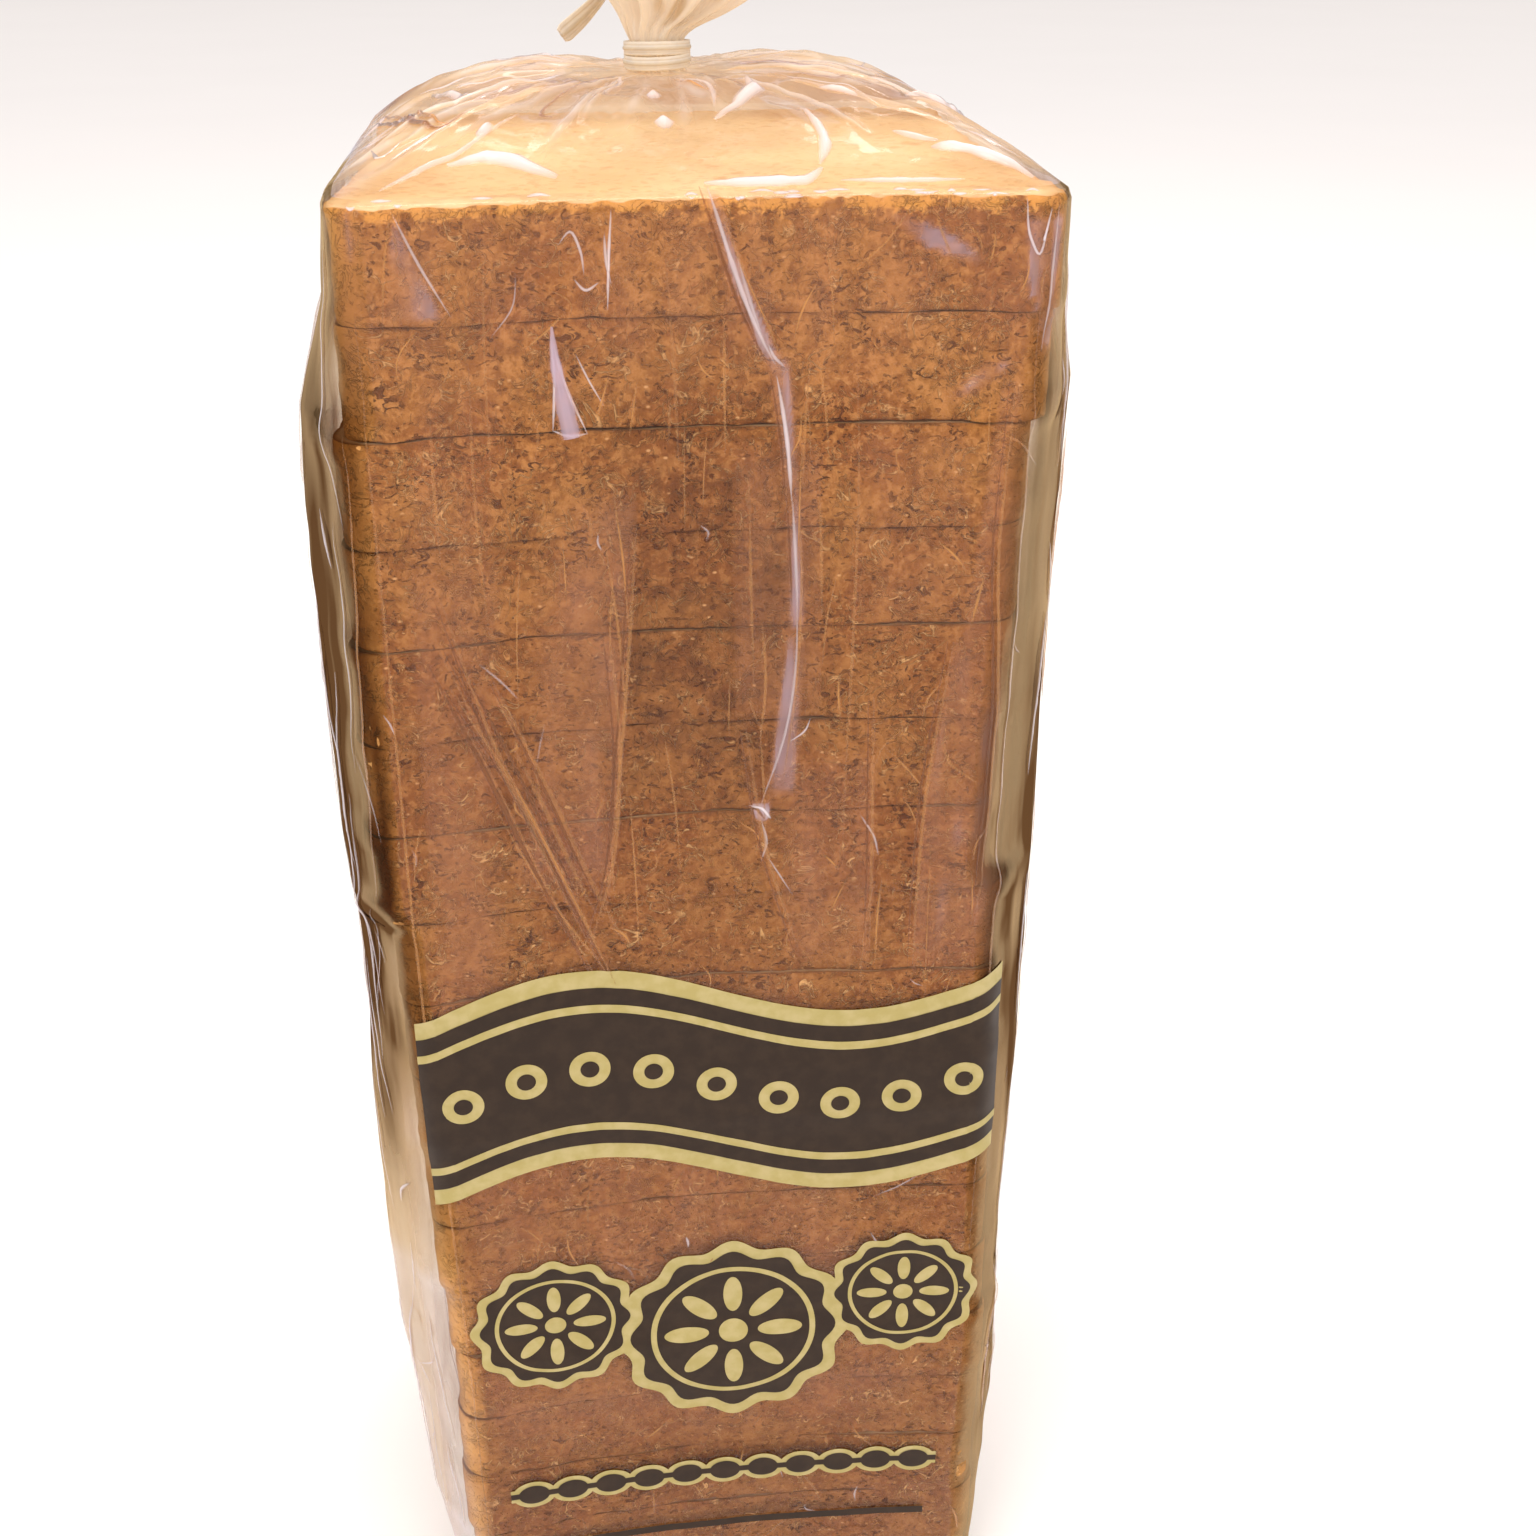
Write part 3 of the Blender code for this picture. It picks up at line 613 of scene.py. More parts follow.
def crust_material():
    """Bread crust baked against a tin: matt golden brown, mottled over 3 to 20 mm, with short irregular pores
    of 0.4 to 1.5 mm, thin pale squiggles of torn skin and bran specks. Painted as light and shade: golden
    corners as highlight, most at the front left, dark cut edges as shadow in the gaps between slices, and
    darker crust lower down and in a patch in the front's middle as shade."""
    m = Look("tin_baked_wholemeal_crust")
    here = m.place()
    height = m.split(here)[2]
    big = m.noise(here, 55.0, 2.0, 0.6)
    medium = m.noise(here, 260.0, 3.0, 0.6, 0.6)
    fine = m.noise(here, 780.0, 3.0, 0.66)
    base = m.mix(m.span(big, 0.35, 0.65), "#935a27", "#a77239")
    for mark in ((medium, 0.50, 0.64, 0.62, "#7c4717"), (medium, 0.46, 0.36, 0.55, "#bf8549"),
                 (fine, 0.51, 0.62, 0.62, "#c48b51"), (fine, 0.47, 0.37, 0.42, "#6b3b15"),
                 # The two height marks make the crust darker lower down and nearest the base: painted shade,
                 # as less light falls there
                 (height, 0.268, 0.205, 0.36, "#74401a"), (height, 0.12, 0.0, 0.22, "#70432a")):
        base = m.marks(base, *mark)
    squiggle = m.times(m.thread(here, 210.0, 1.4, 0.026), m.span(m.noise(here, 170.0, 2.0), 0.50, 0.60))
    curl = m.times(m.thread(here, 300.0, 1.8, 0.034), m.span(m.noise(here, 260.0, 2.0), 0.44, 0.56))
    base = m.tint(base, curl, "#c99055", 0.75)
    base = m.tint(base, squiggle, "#dfae76", 0.9)
    # A darker patch in the front's middle, about 60 mm below the top: painted shade of a dimple in the crust
    about = m.add("Mapping", {"Vector": here, "Location": (0.1, 1.7, -6.15), "Scale": (60.0, 34.0, 27.5)})
    about = m.span(m.add("VectorMath", {0: about}, out=1, operation="LENGTH"), 1.5, 0.4)
    dimple_shade = m.times(m.span(m.noise(here, 150.0, 2.0, 0.6, 1.0), 0.46, 0.62), about)
    base = m.tint(base, m.maths("ADD", m.times(about, 0.26), m.times(dimple_shade, 0.42)), "#5f3411")
    lying = m.stretched(here, 1.0, 1.0, 1.5)
    deep = m.span(m.noise(lying, 450.0, 2.0, 0.6, 1.4), 0.60, 0.66)
    hole = m.times(deep, m.span(m.noise(here, 120.0, 2.0), 0.46, 0.58))
    small = m.times(m.span(m.noise(lying, 850.0, 1.0, 0.5, 0.5), 0.65, 0.71), 0.6)
    hole = m.maths("MAXIMUM", hole, small)
    base = m.tint(base, hole, "#55290a", 0.82)
    speck = m.times(m.span(m.cells(lying, 360.0), 0.17, 0.05), m.span(m.noise(here, 210.0, 2.0), 0.50, 0.58))
    base = m.tint(base, speck, "#dbab78", 0.75)
    # Lighter, more golden corners: painted highlight where the rounded corners face the light
    base = m.tint(base, m.attribute("corner"), "#dda55e", 0.80)
    crumbly = m.maths("ADD", m.attribute("rim"), m.times(m.maths("SUBTRACT", fine, 0.5), 1.4))
    base = m.marks(base, crumbly, 0.26, 0.62, 0.90, "#e2a557")
    # Darker along each cut: painted shadow in the gap between slices, stronger where the edge crumbles
    base = m.tint(base, m.attribute("cut"), "#552f12", 0.75)
    relief = m.maths("SUBTRACT", m.times(fine, 0.5), m.maths("ADD", hole, m.times(medium, 0.8)))
    relief = m.maths("ADD", relief, m.times(m.maths("ADD", squiggle, curl), 0.5))
    bump = m.add("Bump", {"Strength": 0.9, "Distance": 0.0009, "Height": relief})
    inputs = {"Base Color": base, "Roughness": 0.78, "Normal": bump, "Specular IOR Level": 0.25}
    return m.finish(m.add("BsdfPrincipled", inputs))


def crumb_material():
    """The cut face of a slice: cream with open pores of 0.4 to 2 mm, golden towards the crust."""
    m = Look("cut_wheat_crumb")
    here = m.place()
    base = m.mix(m.span(m.noise(here, 45.0, 2.0), 0.3, 0.7), "#eacea2", "#f1dab2")
    small = m.times(m.span(m.cells(here, 620.0), 0.45, 0.2), 0.5)
    large = m.times(m.span(m.cells(here, 210.0), 0.3, 0.12), m.span(m.noise(here, 90.0, 2.0), 0.5, 0.6))
    hole = m.maths("MAXIMUM", small, large)
    base = m.tint(base, hole, "#cf9660", 0.45)
    base = m.tint(base, m.attribute("rim"), "#cf8f45", 0.85)
    # Faces that lie against the next slice darken towards their edge: painted shadow in the gap between
    # slices
    base = m.tint(base, m.attribute("cut"), "#6a3e1b", 0.9)
    bump = m.add("Bump", {"Strength": 0.5, "Distance": 0.0006, "Height": m.maths("SUBTRACT", 1.0, hole)})
    inputs = {"Base Color": base, "Roughness": 0.85, "Normal": bump, "Specular IOR Level": 0.2,
              "Subsurface Weight": 0.12, "Subsurface Radius": (0.004, 0.002, 0.001), "Subsurface Scale": 0.5}
    return m.finish(m.add("BsdfPrincipled", inputs))


def film_material():
    """Clear cast film 0.03 mm thick: light goes straight through, the shine grows at a glancing view with the
    fourth power as on thin glass. Creases are white or golden, partly whitened film and partly painted
    highlight;
    loose strips are slightly milky, partly painted reflection; gathered layers are cream, on the dome partly
    the crumb's colour painted in as bounced light; deep folds are brown as painted shade. The slack sides are
    brown as painted shade, with a painted dark reflection at a glancing view."""
    m = Look("clear_cast_polypropylene_film")
    here = m.place()
    crease, haze, wing = m.attribute("crease"), m.attribute("haze"), m.attribute("wing")
    bunch, shade, warm = m.attribute("gather"), m.attribute("shade"), m.attribute("warm")
    upright = m.stretched(here, 1.0, 1.0, 0.22)
    ripple = m.times(m.noise(upright, 330.0, 1.0), 0.5)
    ripple = m.maths("ADD", m.times(m.noise(upright, 90.0, 1.0), 1.6), ripple)
    bump = m.add("Bump", {"Strength": 0.35, "Distance": 0.0008, "Height": ripple})
    facing = m.add("LayerWeight", {"Blend": 0.5, "Normal": bump}, out=1)
    glance = m.maths("ADD", m.maths("POWER", facing, 4.0), 0.016)
    # At a glancing view the slack sides shine more: painted reflection of dark surroundings
    slant = m.times(m.span(facing, 0.34, 0.68), wing)
    shine = m.times(glance, m.maths("SUBTRACT", 1.0, m.times(bunch, 0.75)))
    shine = m.maths("ADD", shine, m.times(slant, 0.95), clamp=True)
    # The slack sides reflect golden, and dark brown at a glancing view: painted reflection
    mirrored = m.mix(m.span(wing, 0.0, 0.15), "#f6f4ff", "#dcc094")
    mirrored = m.tint(mirrored, slant, "#5a4028")
    gloss = m.add("BsdfGlossy", {"Color": mirrored, "Roughness": 0.09, "Normal": bump})
    see_through = m.tint("#fdfaf5", shade, "#b98f68", 0.6)
    # Seen through, the slack sides are darkened brown: painted shade
    clear = m.add("BsdfTransparent", {"Color": m.tint(see_through, wing, "#94754a", 0.8)})
    milk = m.maths("ADD", m.times(crease, 0.95), m.times(haze, 0.18))
    milk = m.maths("ADD", milk, m.maths("ADD", m.times(bunch, 0.62), m.times(shade, 0.35)), clamp=True)
    # Very hazy places are lavender, the others peach: painted reflection of cool lamps and of the crust
    milky = m.mix(m.span(haze, 1.1, 2.6), "#dca483", "#dccbe2")
    # Gathered layers are cream, on the dome the crumb's colour painted in as bounced light, lighter where
    # most gathered
    layers = m.mix(m.span(bunch, 0.85, 1.0), "#f4dfbd", "#fef6ea")
    milky = m.tint(m.mix(m.times(bunch, 2.0), milky, layers), shade, "#a87a55")
    white = m.mix(bunch, "#f4eff8", "#fbf3e4")
    # Creases turn white, or golden where so set: partly whitened film, partly painted highlight
    milky = m.mix(m.span(crease, 0.02, 0.2), milky, m.tint(white, warm, "#dfa766"))
    lit, lit_through = m.add("BsdfDiffuse", {"Color": milky}), m.add("BsdfTranslucent", {"Color": milky})
    body = m.add("MixShader", {0: 0.4, 1: lit, 2: lit_through})
    inner = m.add("MixShader", {0: milk, 1: clear, 2: body})
    return m.finish(m.add("MixShader", {0: shine, 1: inner, 2: gloss}))


def ink_material(name, hexa, second, cover):
    """Flexographic ink on film: an even coat, slightly mottled and a little see-through, dull in shine."""
    m = Look(name)
    base = m.mix(m.span(m.noise(m.place(), 330.0, 3.0), 0.35, 0.7), hexa, second)
    coat = m.add("BsdfPrincipled", {"Base Color": base, "Roughness": 0.30, "Specular IOR Level": 0.22})
    return m.finish(m.add("MixShader", {0: cover, 1: m.add("BsdfTransparent", {"Color": base}), 2: coat}))


def tie_material():
    """Cream plastic strip with a wire in it: satin, slightly see-through, striped lengthwise."""
    m = Look("extruded_twist_tie_strip")
    across = m.maths("ABSOLUTE", m.attribute("across"))
    base = m.mix(m.span(m.noise(m.place(), 500.0, 2.0), 0.35, 0.7), "#f6efe2", "#ece5dc")
    base = m.marks(base, across, 0.34, 0.16, 0.4, "#c9b48a")
    groove = m.maths("ABSOLUTE", m.maths("SUBTRACT", across, 0.55))
    base = m.marks(base, groove, 0.12, 0.03, 0.35, "#cdb994")
    base = m.tint(base, m.span(across, 0.78, 0.95), "#faf3e6")
    coat = m.add("BsdfPrincipled", {"Base Color": base, "Roughness": 0.35})
    return m.finish(m.add("MixShader", {0: 0.2, 1: coat, 2: m.add("BsdfTranslucent", {"Color": base})}))


# Bread


def cut_wave(x, y, number):
    """How far the cut above a slice wanders up and down, alike for both slices at the cut."""
    return 0.9 * (noise(at(x, y, 50.0 * number), 9.0, 30) - 0.5)


def slice_piece(number, crust, crumb):
    """One slice: the loaf's outline with cut edges that crumble a little, and flat cut faces."""
    cols = steps(130, 8, 60, 70)
    low = TOP - GAP - (number + 1) * THICK + (0.35 if number == SLICES - 1 else 0.05)
    high = TOP - GAP - number * THICK - 0.05
    v = np.concatenate([[0.0, 0.010, 0.03, 0.06], np.linspace(0.11, 0.89, 14), [0.94, 0.97, 0.99, 1.0]])
    z = (low + (high - low) * v)[:, None] + 0 * cols
    t = cols + 0 * z
    x, y, nx, ny, k = outline(t, SHIFT_X[number], SHIFT_Y[number], -0.15, HOLLOW, 2.0, CORNER - 0.6)
    if number > 0:
        z = z + v[:, None] * cut_wave(x, y, number)
    if number < SLICES - 1:
        z = z + (1.0 - v)[:, None] * cut_wave(x, y, number + 1)
    p = at(x, y, z)
    own = np.array([0.0, 0.0, 40.0 * number])
    bulge = 0.45 * (noise(p + own, 9.0, 21) - 0.5) + 0.35 * (noise(p, 2.2, 22) - 0.5)
    bulge += 0.5 * (noise(p * [1, 1, 0.2] + own, 16.0, 23) - 0.5)
    edge = np.minimum(v, 1 - v)[:, None] * THICK
    broken = smooth((noise(p + own, 4.0, 28) - 0.3) / 0.45)
    worn = np.exp(-edge / 0.25) * (0.05 + 0.55 * broken * noise(p + own, 1.6, 24))
    if number == 0:
        worn = worn + 0.9 * (noise(p, 1.5, 29) - 0.4) * np.exp(-edge / 0.9) * (v > 0.5)[:, None]
    p = p + at(nx, ny, 0.0) * (bulge - worn)[..., None]
    if number == 0:
        p[..., 2] -= 0.4 * np.exp(-edge / 0.7) * (v > 0.5)[:, None] * smooth((noise(p, 1.1, 34) - 0.3) / 0.5)
    p[..., 2] += np.exp(-edge / 0.5) * np.sign(v - 0.5)[:, None] * (-0.20) * broken * noise(p + own, 2.0, 25)
    upper = (v > 0.5)[:, None]
    rim = np.exp(-edge / 1.7) * upper * (0.15 + 1.5 * noise(p, 1.9, 26)) if number == 0 else 0.0
    # How much light each corner catches, most at the front left: painted highlight
    bright = np.select([k == 7, k == 1, (k == 3) | (k == 5)], [1.0, 0.5, 0.7])
    corner = bright * np.sin(math.pi * corner_share(t)) * (0.6 + 0.8 * noise(p, 5.0, 27))
    # Darkness along the cut edges for the crust: painted shadow in the gap between slices, stronger where the
    # edge crumbles
    cut = np.exp(-edge / 0.20) * (0.05 + 1.0 * broken) * (1.0 - (upper if number == 0 else 0.0))
    patches = [patch(p, values={"rim": rim, "corner": corner, "cut": cut})]
    middle = np.array([SHIFT_X[number], SHIFT_Y[number], 0.0])
    for row, up in ((-1, True), (0, False)):
        fine = number == 0 and up
        shares = np.array([1.0, 0.985, 0.8, 0.35])
        if fine:
            shares = np.concatenate([[1.0, 0.99, 0.975, 0.95], np.linspace(0.92, 0.03, 34)])
        ring = p[row]
        level = ring[:, 2].mean()
        grid = middle + (ring - middle) * shares[:, None, None]
        grid[..., 2] = level + (ring[:, 2] - level) * (shares ** 12)[:, None]
        if fine:
            rough = 0.5 * (noise(grid, 1.6, 31) - 0.5) + 0.8 * (noise(grid, 8.0, 32) - 0.5)
            grid[..., 2] += rough * smooth((1.0 - shares) / 0.03)[:, None]
        rimmed = np.exp(-(1.0 - shares) / 0.012)[:, None] * (0.5 + 0.8 * noise(grid, 3.0, 33))
        centre = middle + [0, 0, grid[-1, :, 2].mean()]
        ends = {"high": centre} if up else {"low": centre}
        order = slice(None) if up else slice(None, None, -1)
        open_face = (number == 0 and up) or (number == SLICES - 1 and not up)
        # Faces against the next slice darken towards their edge: painted shadow in the gap between slices
        dark = 0 * rimmed if open_face else np.exp(-(1.0 - shares) / 0.03)[:, None] + 0 * rimmed
        patches.append(patch(grid[order], values={"rim": rimmed[order], "cut": dark[order]}, slot=1, **ends))
    piece("slice_%02d" % (number + 1), patches, [crust, crumb])


def corner_share(t):
    """How far round its corner a place is, 0 to 1, and 0 on the flats."""
    k, f = stretch(np.mod(t, 52.0))
    return np.where(k % 2 == 1, f, 0.0)


# Bag


def bag_sides(material):
    """The film round the slices, from its base to the loaf's top edge."""
    low_rows = [0, 0.15, 0.35, 0.6, 0.9, 1.4, 2.0, 2.6]
    high_rows = TOP - np.array([2.6, 2.1, 1.6, 1.1, 0.7, 0.3, 0.0, -0.25, -0.5])
    z = np.concatenate([low_rows, np.linspace(3.4, TOP - 3.1, 284), high_rows])[:, None]
    points, _, crease, haze, wing = film(steps(150, 8, 38, 42)[None, :], z)
    points[0, :, 2] = 0.0
    back_edge = smooth((z - TOP + 3.5) / 3.0) * smooth(points[..., 1] / 20.0)
    low_left = smooth((TOP - 135.0 - z) / 40.0) * smooth((-53.0 - points[..., 0]) / 3.0)
    low_left = low_left * smooth((6.0 - points[..., 1]) / 26.0)
    gather = 0.75 * back_edge + 0.55 * low_left
    # Creases whitened, partly painted highlight; hazy strips partly painted reflection; slack sides in
    # painted shade and reflection; painted brown shade along the back's top edge
    values = {"crease": 0.10 * crease, "haze": haze, "wing": wing, "gather": gather, "shade": 0.5 * back_edge}
    piece("bag_film", [patch(points, low=np.array([0.0, 0.0, 0.0]), values=values)], [material])


def tail_rows(cols, rise, rx_share=1.0, ruffle_share=1.0, extra=0.0, phase=0.0):
    """Rings of the gathered neck and its tail, more crumpled the higher they are."""
    rows = through(TAIL, rise)
    _, middle, rx, ry, ruffle = rows.T[:, :, None]
    rise = rise[:, None]
    fine = (0.055 + 0.12 * np.minimum(ruffle, 3.0)) + extra
    sway = extra * 2.4 * np.sin(rise * 0.11)
    x, y, slow = neck_ring(cols, middle + sway, (rx - 0.1) * rx_share, (ry - 0.1) * rx_share,
                           ruffle * 0.94 * ruffle_share, fine, phase + rise * 0.035)
    open_up = smooth((rise - 20.0) / 40.0)
    centre = at(middle + 0 * x, 0.0)
    flat = at(x, y)
    crumple = noise(at(x * 0.8, y * 0.8, rise * 0.35), 4.5, 71 + int(10 * extra)) - 0.5
    crumple += 0.6 * (noise(at(x, y, rise * 0.9), 3.0, 72) - 0.5)
    flat = flat + unit(flat - centre + 1e-6) * (1.6 * open_up * crumple)[..., None]
    lift = 2.2 * smooth((rise - 46.0) / 20.0) * (noise(at(x, y, 0.0), 9.0, 73) - 0.5)
    lift = 1.4 * open_up * slow + lift
    return np.concatenate([flat, (TOP + rise + lift)[..., None]], -1), crumple


def bag_top(material):
    """The film over the top slice, the gathered neck and the open tail, and the folds inside the tail."""
    cols = np.arange(0, 52, 0.1)[None, :]
    share = np.concatenate([np.linspace(1.0, 0.12, 76), [0.09, 0.06, 0.04, 0.02, 0.0]])[:, None]
    dome, white = roof(cols, share)
    rise = np.concatenate([np.linspace(11.3, 15.9, 10), np.linspace(16.5, 66.0, 74)])
    tail, crumple = tail_rows(cols, rise)
    valley = smooth((-pleat(cols) - 0.2) / 0.8)
    dome_gather = 0.42 * smooth((1.0 - share) / 0.12) + 0.5 * smooth((0.26 - share) / 0.26)
    far = smooth((dome[..., 1] - 8.0) / 32.0)
    edge_on = smooth((np.abs(dome[..., 0]) - 32.0) / 16.0) * smooth((dome[..., 1] + 52.0) / 14.0)
    dome_gather = (dome_gather + 0.6 * np.maximum(far, edge_on)) * (0.65 + 0.7 * noise(dome, 6.0, 74))
    dome_shade = 0.3 * valley * smooth((0.6 - share) / 0.4) + 0.55 * edge_on * noise(dome, 5.0, 75)
    dome_shade = dome_shade + 0.75 * smooth((dome[..., 1] - 27.0) / 14.0)
    tight = np.interp(rise, [11, 16.5, 40, 66], [1.15, 1.1, 0.7, 0.5])[:, None]
    values = {
        # The dome's fine creases and the tail's pleat ridges show white: partly whitened film, partly painted
        # highlight
        "crease": np.concatenate([0.8 * white, 0.30 * smooth((0.1 + pleat(cols)) / 1.2) + 0 * crumple]),
        "gather": np.concatenate([dome_gather, tight * (0.8 + 0.5 * (crumple + 0.5))]),
        "shade": np.concatenate([dome_shade, 0.06 * valley * smooth(0.5 - 1.6 * crumple) + 0 * crumple]),
    }
    piece("bag_top_and_tail", [patch(np.concatenate([dome, tail]), values=values)], [material])
    rise = np.linspace(17.5, 61.0, 46)
    inner, crumple = tail_rows(cols[:, ::2], rise, rx_share=0.52, ruffle_share=0.8, extra=0.5, phase=2.4)
    values = {"crease": 0.2 + 0 * crumple, "gather": 0.8 + 0.3 * crumple, "shade": 0.02 + 0.1 * crumple}
    piece("bag_tail_inner_folds", [patch(inner, values=values)], [material])


def on_film(s, depth, out):
    """A place on the film, and the way out there. s is mm round from the loaf's middle line, depth is mm
    below its top, and out is mm off the film."""
    s, depth = np.broadcast_arrays(np.asarray(s, float), np.asarray(depth, float))
    sx = np.interp(TOP - depth, *KNOTS_X)
    t = turn_at(s - slid(s, sx))
    p, way, *_ = film(t, TOP - depth)
    return p + way * out, way


def on_roof(t, share, out):
    """The same over the top slice. t is the place in the turn and share how far out it is from the neck."""
    p, _ = roof(t, share)
    edge = p[..., :2] - [NECK_X, 0.0]
    lean = edge * (0.012 * np.asarray(share)[..., None] ** 2)
    way = unit(at(lean[..., 0], lean[..., 1], 1.0))
    return p + way * out, way


def fold(line, way, half, pale, warm=0.0, shade=0.0, haze=0.0, rise=0.08, taper=0.6):
    """A thin fold along a line on the film: a low arch across, its width and whiteness running out at the
    ends. Its whiteness and golden tint are partly painted highlight, its shade is painted shade and its
    milkiness is partly painted reflection. half is one half width, or one at each point of the line."""
    side = unit(np.cross(np.gradient(line, axis=0), way))
    across = np.array([-1.0, -0.6, -0.25, 0.0, 0.25, 0.6, 1.0])
    arch = np.array([0.0, 0.4, 0.85, 1.0, 0.85, 0.4, 0.0])
    swell = np.sin(math.pi * np.linspace(0.04, 0.96, len(line)))[:, None] ** taper
    wobble = 0.75 + 0.5 * noise(line, 1.5, 81)[:, None]
    half = np.broadcast_to(half, len(line))[:, None] * swell * wobble
    points = line[:, None] + side[:, None] * (across * half)[..., None]
    points = points + way[:, None] * (0.08 + rise * half * arch)[..., None]
    strength = np.minimum(1.0, 1.7 * arch) * swell * np.clip(1.5 * wobble - 0.3, 0, 1)
    values = {"crease": pale * strength, "shade": shade * strength, "haze": haze * strength, "warm": warm}
    return patch(points, closed=False, values=values)


def folds(lines, surface, out):
    """Folds on a surface of the film. Each line has its points there and then what fold() takes."""
    ends = np.cumsum([len(points) for points, *_ in lines])[:-1]
    flat = np.concatenate([points for points, *_ in lines])
    places = [np.split(part, ends) for part in surface(flat[:, 0], flat[:, 1], out)]
    return [fold(line, way, *rest) for line, way, (_, *rest) in zip(*places, lines)]


def stroke(s, d, length, lean, bend, count):
    """A slightly bent line down the film from a place on it."""
    u = np.array([0.0, 0.5, 1.0])
    return curve(at(s + lean * u + bend * u * (1 - u), d + length * u), count)


def crease_lines():
    """A fold along each of the creases that shows, white or golden as partly painted highlight, and a brown
    one along the left of the wide creases as painted shadow.
    """
    lines = []
    for points, width, pale, *height in list(CREASES) + [line for line in LOOSE_CREASES if line[2] > 0.4]:
        length = np.linalg.norm(np.diff(np.array(points, float), axis=0), axis=1).sum()
        # Faint creases are shown golden: painted highlight in the crust's colour
        line, warm = curve(points, int(6 + 1.1 * length)), float(pale <= 0.4)
        lines.append((line, 0.30 * width + 0.14, 1.3 * pale if warm else pale, warm))
        if height:
            # A brown fold left of the wide creases: painted shadow
            lines.append((line - [1.1 * width, 0.0], 0.35 * width, 0.0, 0.0, 1.2))
    return lines


def scattered_lines():
    """Short folds all over and long golden streaks in front, white or golden as painted highlights, white
    dashes along the top edge as painted glints, white or golden streaks on the slack sides as painted
    highlights, a bundle of streaks at the lower left in turns painted shade and golden painted highlight, and
    the drop-shaped fold under the first cut, milky lavender as painted reflection."""
    lines = []
    # Short folds all over, white or golden: painted highlights
    for k in range(210):
        front = k < 150
        s, d, length = draw((-50.0, 50.0) if front else (52.0, 345.0), (1.0, 262.0), (1.5, 9.0))
        lean, bend = rng.normal(0.0, 0.6), rng.normal(0.0, 3.0)
        pale, half = draw((0.2, 0.7) if front else (0.3, 0.8), (0.14, 0.36))
        line = stroke(s, d, length, lean * length, bend, int(6 + 2 * length))
        lines.append((line, half, pale, float(rng.random() < 0.85)))
    # Long golden streaks in front: painted highlight in the crust's colour
    for _ in range(30):
        s, d, length = draw((-46.0, 46.0), (0.5, 110.0), (9.0, 34.0))
        lean = rng.normal(0.0, 1.2)
        line = stroke(s, d, length, lean, 0.8 * lean, int(2 * length))
        lines.append((line, *draw((0.14, 0.3), (0.25, 0.6)), 1.0))
    # White dashes along the top edge: painted glints
    for _ in range(26):
        s, d, length = draw((-48.0, 45.0), (-0.3, 0.5), (0.6, 3.6))
        points = [(s, d), (s + 0.5 * length, d + rng.normal(0.0, 0.15)), (s + length, d)]
        lines.append((curve(points, 12), rng.uniform(0.14, 0.32), 1.0))
    # Streaks on the slack sides, white or golden: painted highlights
    for k in range(90):
        s, d, length = draw((55.0, 71.0), (4.0, 240.0), (3.0, 42.0))
        lean, bend = rng.normal(0.0, 2.5), rng.normal(0.0, 2.0)
        line = stroke(s * (-1) ** k, d, length, lean, bend, int(6 + length))
        lines.append((line, *draw((0.14, 0.45), (0.3, 0.9)), float(k % 4 == 0), 0.0, 0.0, 0.9))
    # A bundle of streaks at the lower left, in turns painted shade and golden painted highlight
    diagonal = curve(((-40.0, 62.0), (-31.0, 86.0), (-24.0, 106.0), (-15.5, 128.0)), 90)
    for k in range(9):
        aside = 7.0 * (k / 4.0 - 1.0) + rng.normal(0.0, 0.8)
        start, end = draw((0.0, 0.35), (0.6, 1.0))
        look = (0.0, 0.0, 1.4) if k % 2 else (0.32, 1.0, 0.0)
        line = diagonal[int(90 * start):int(90 * end)] + [aside * (1.0 - 0.5 * end), 0.0]
        lines.append((line, rng.uniform(0.25, 0.6), *look))
    # The drop-shaped fold is milky lavender: painted reflection of a cool lamp
    drop = curve(((-21.4, 16.8), (-21.1, 22.0), (-20.4, 26.5), (-19.4, 32.6)), 40)
    lines.append((drop, np.linspace(0.3, 2.3, 40), 0.0, 0.0, 0.0, 4.2, 0.15, 0.1))
    return lines


def roof_curve(points, count, end=0.97):
    """A curve over the top slice that stays off its edge."""
    return np.minimum(curve(points, count), [60.0, end])


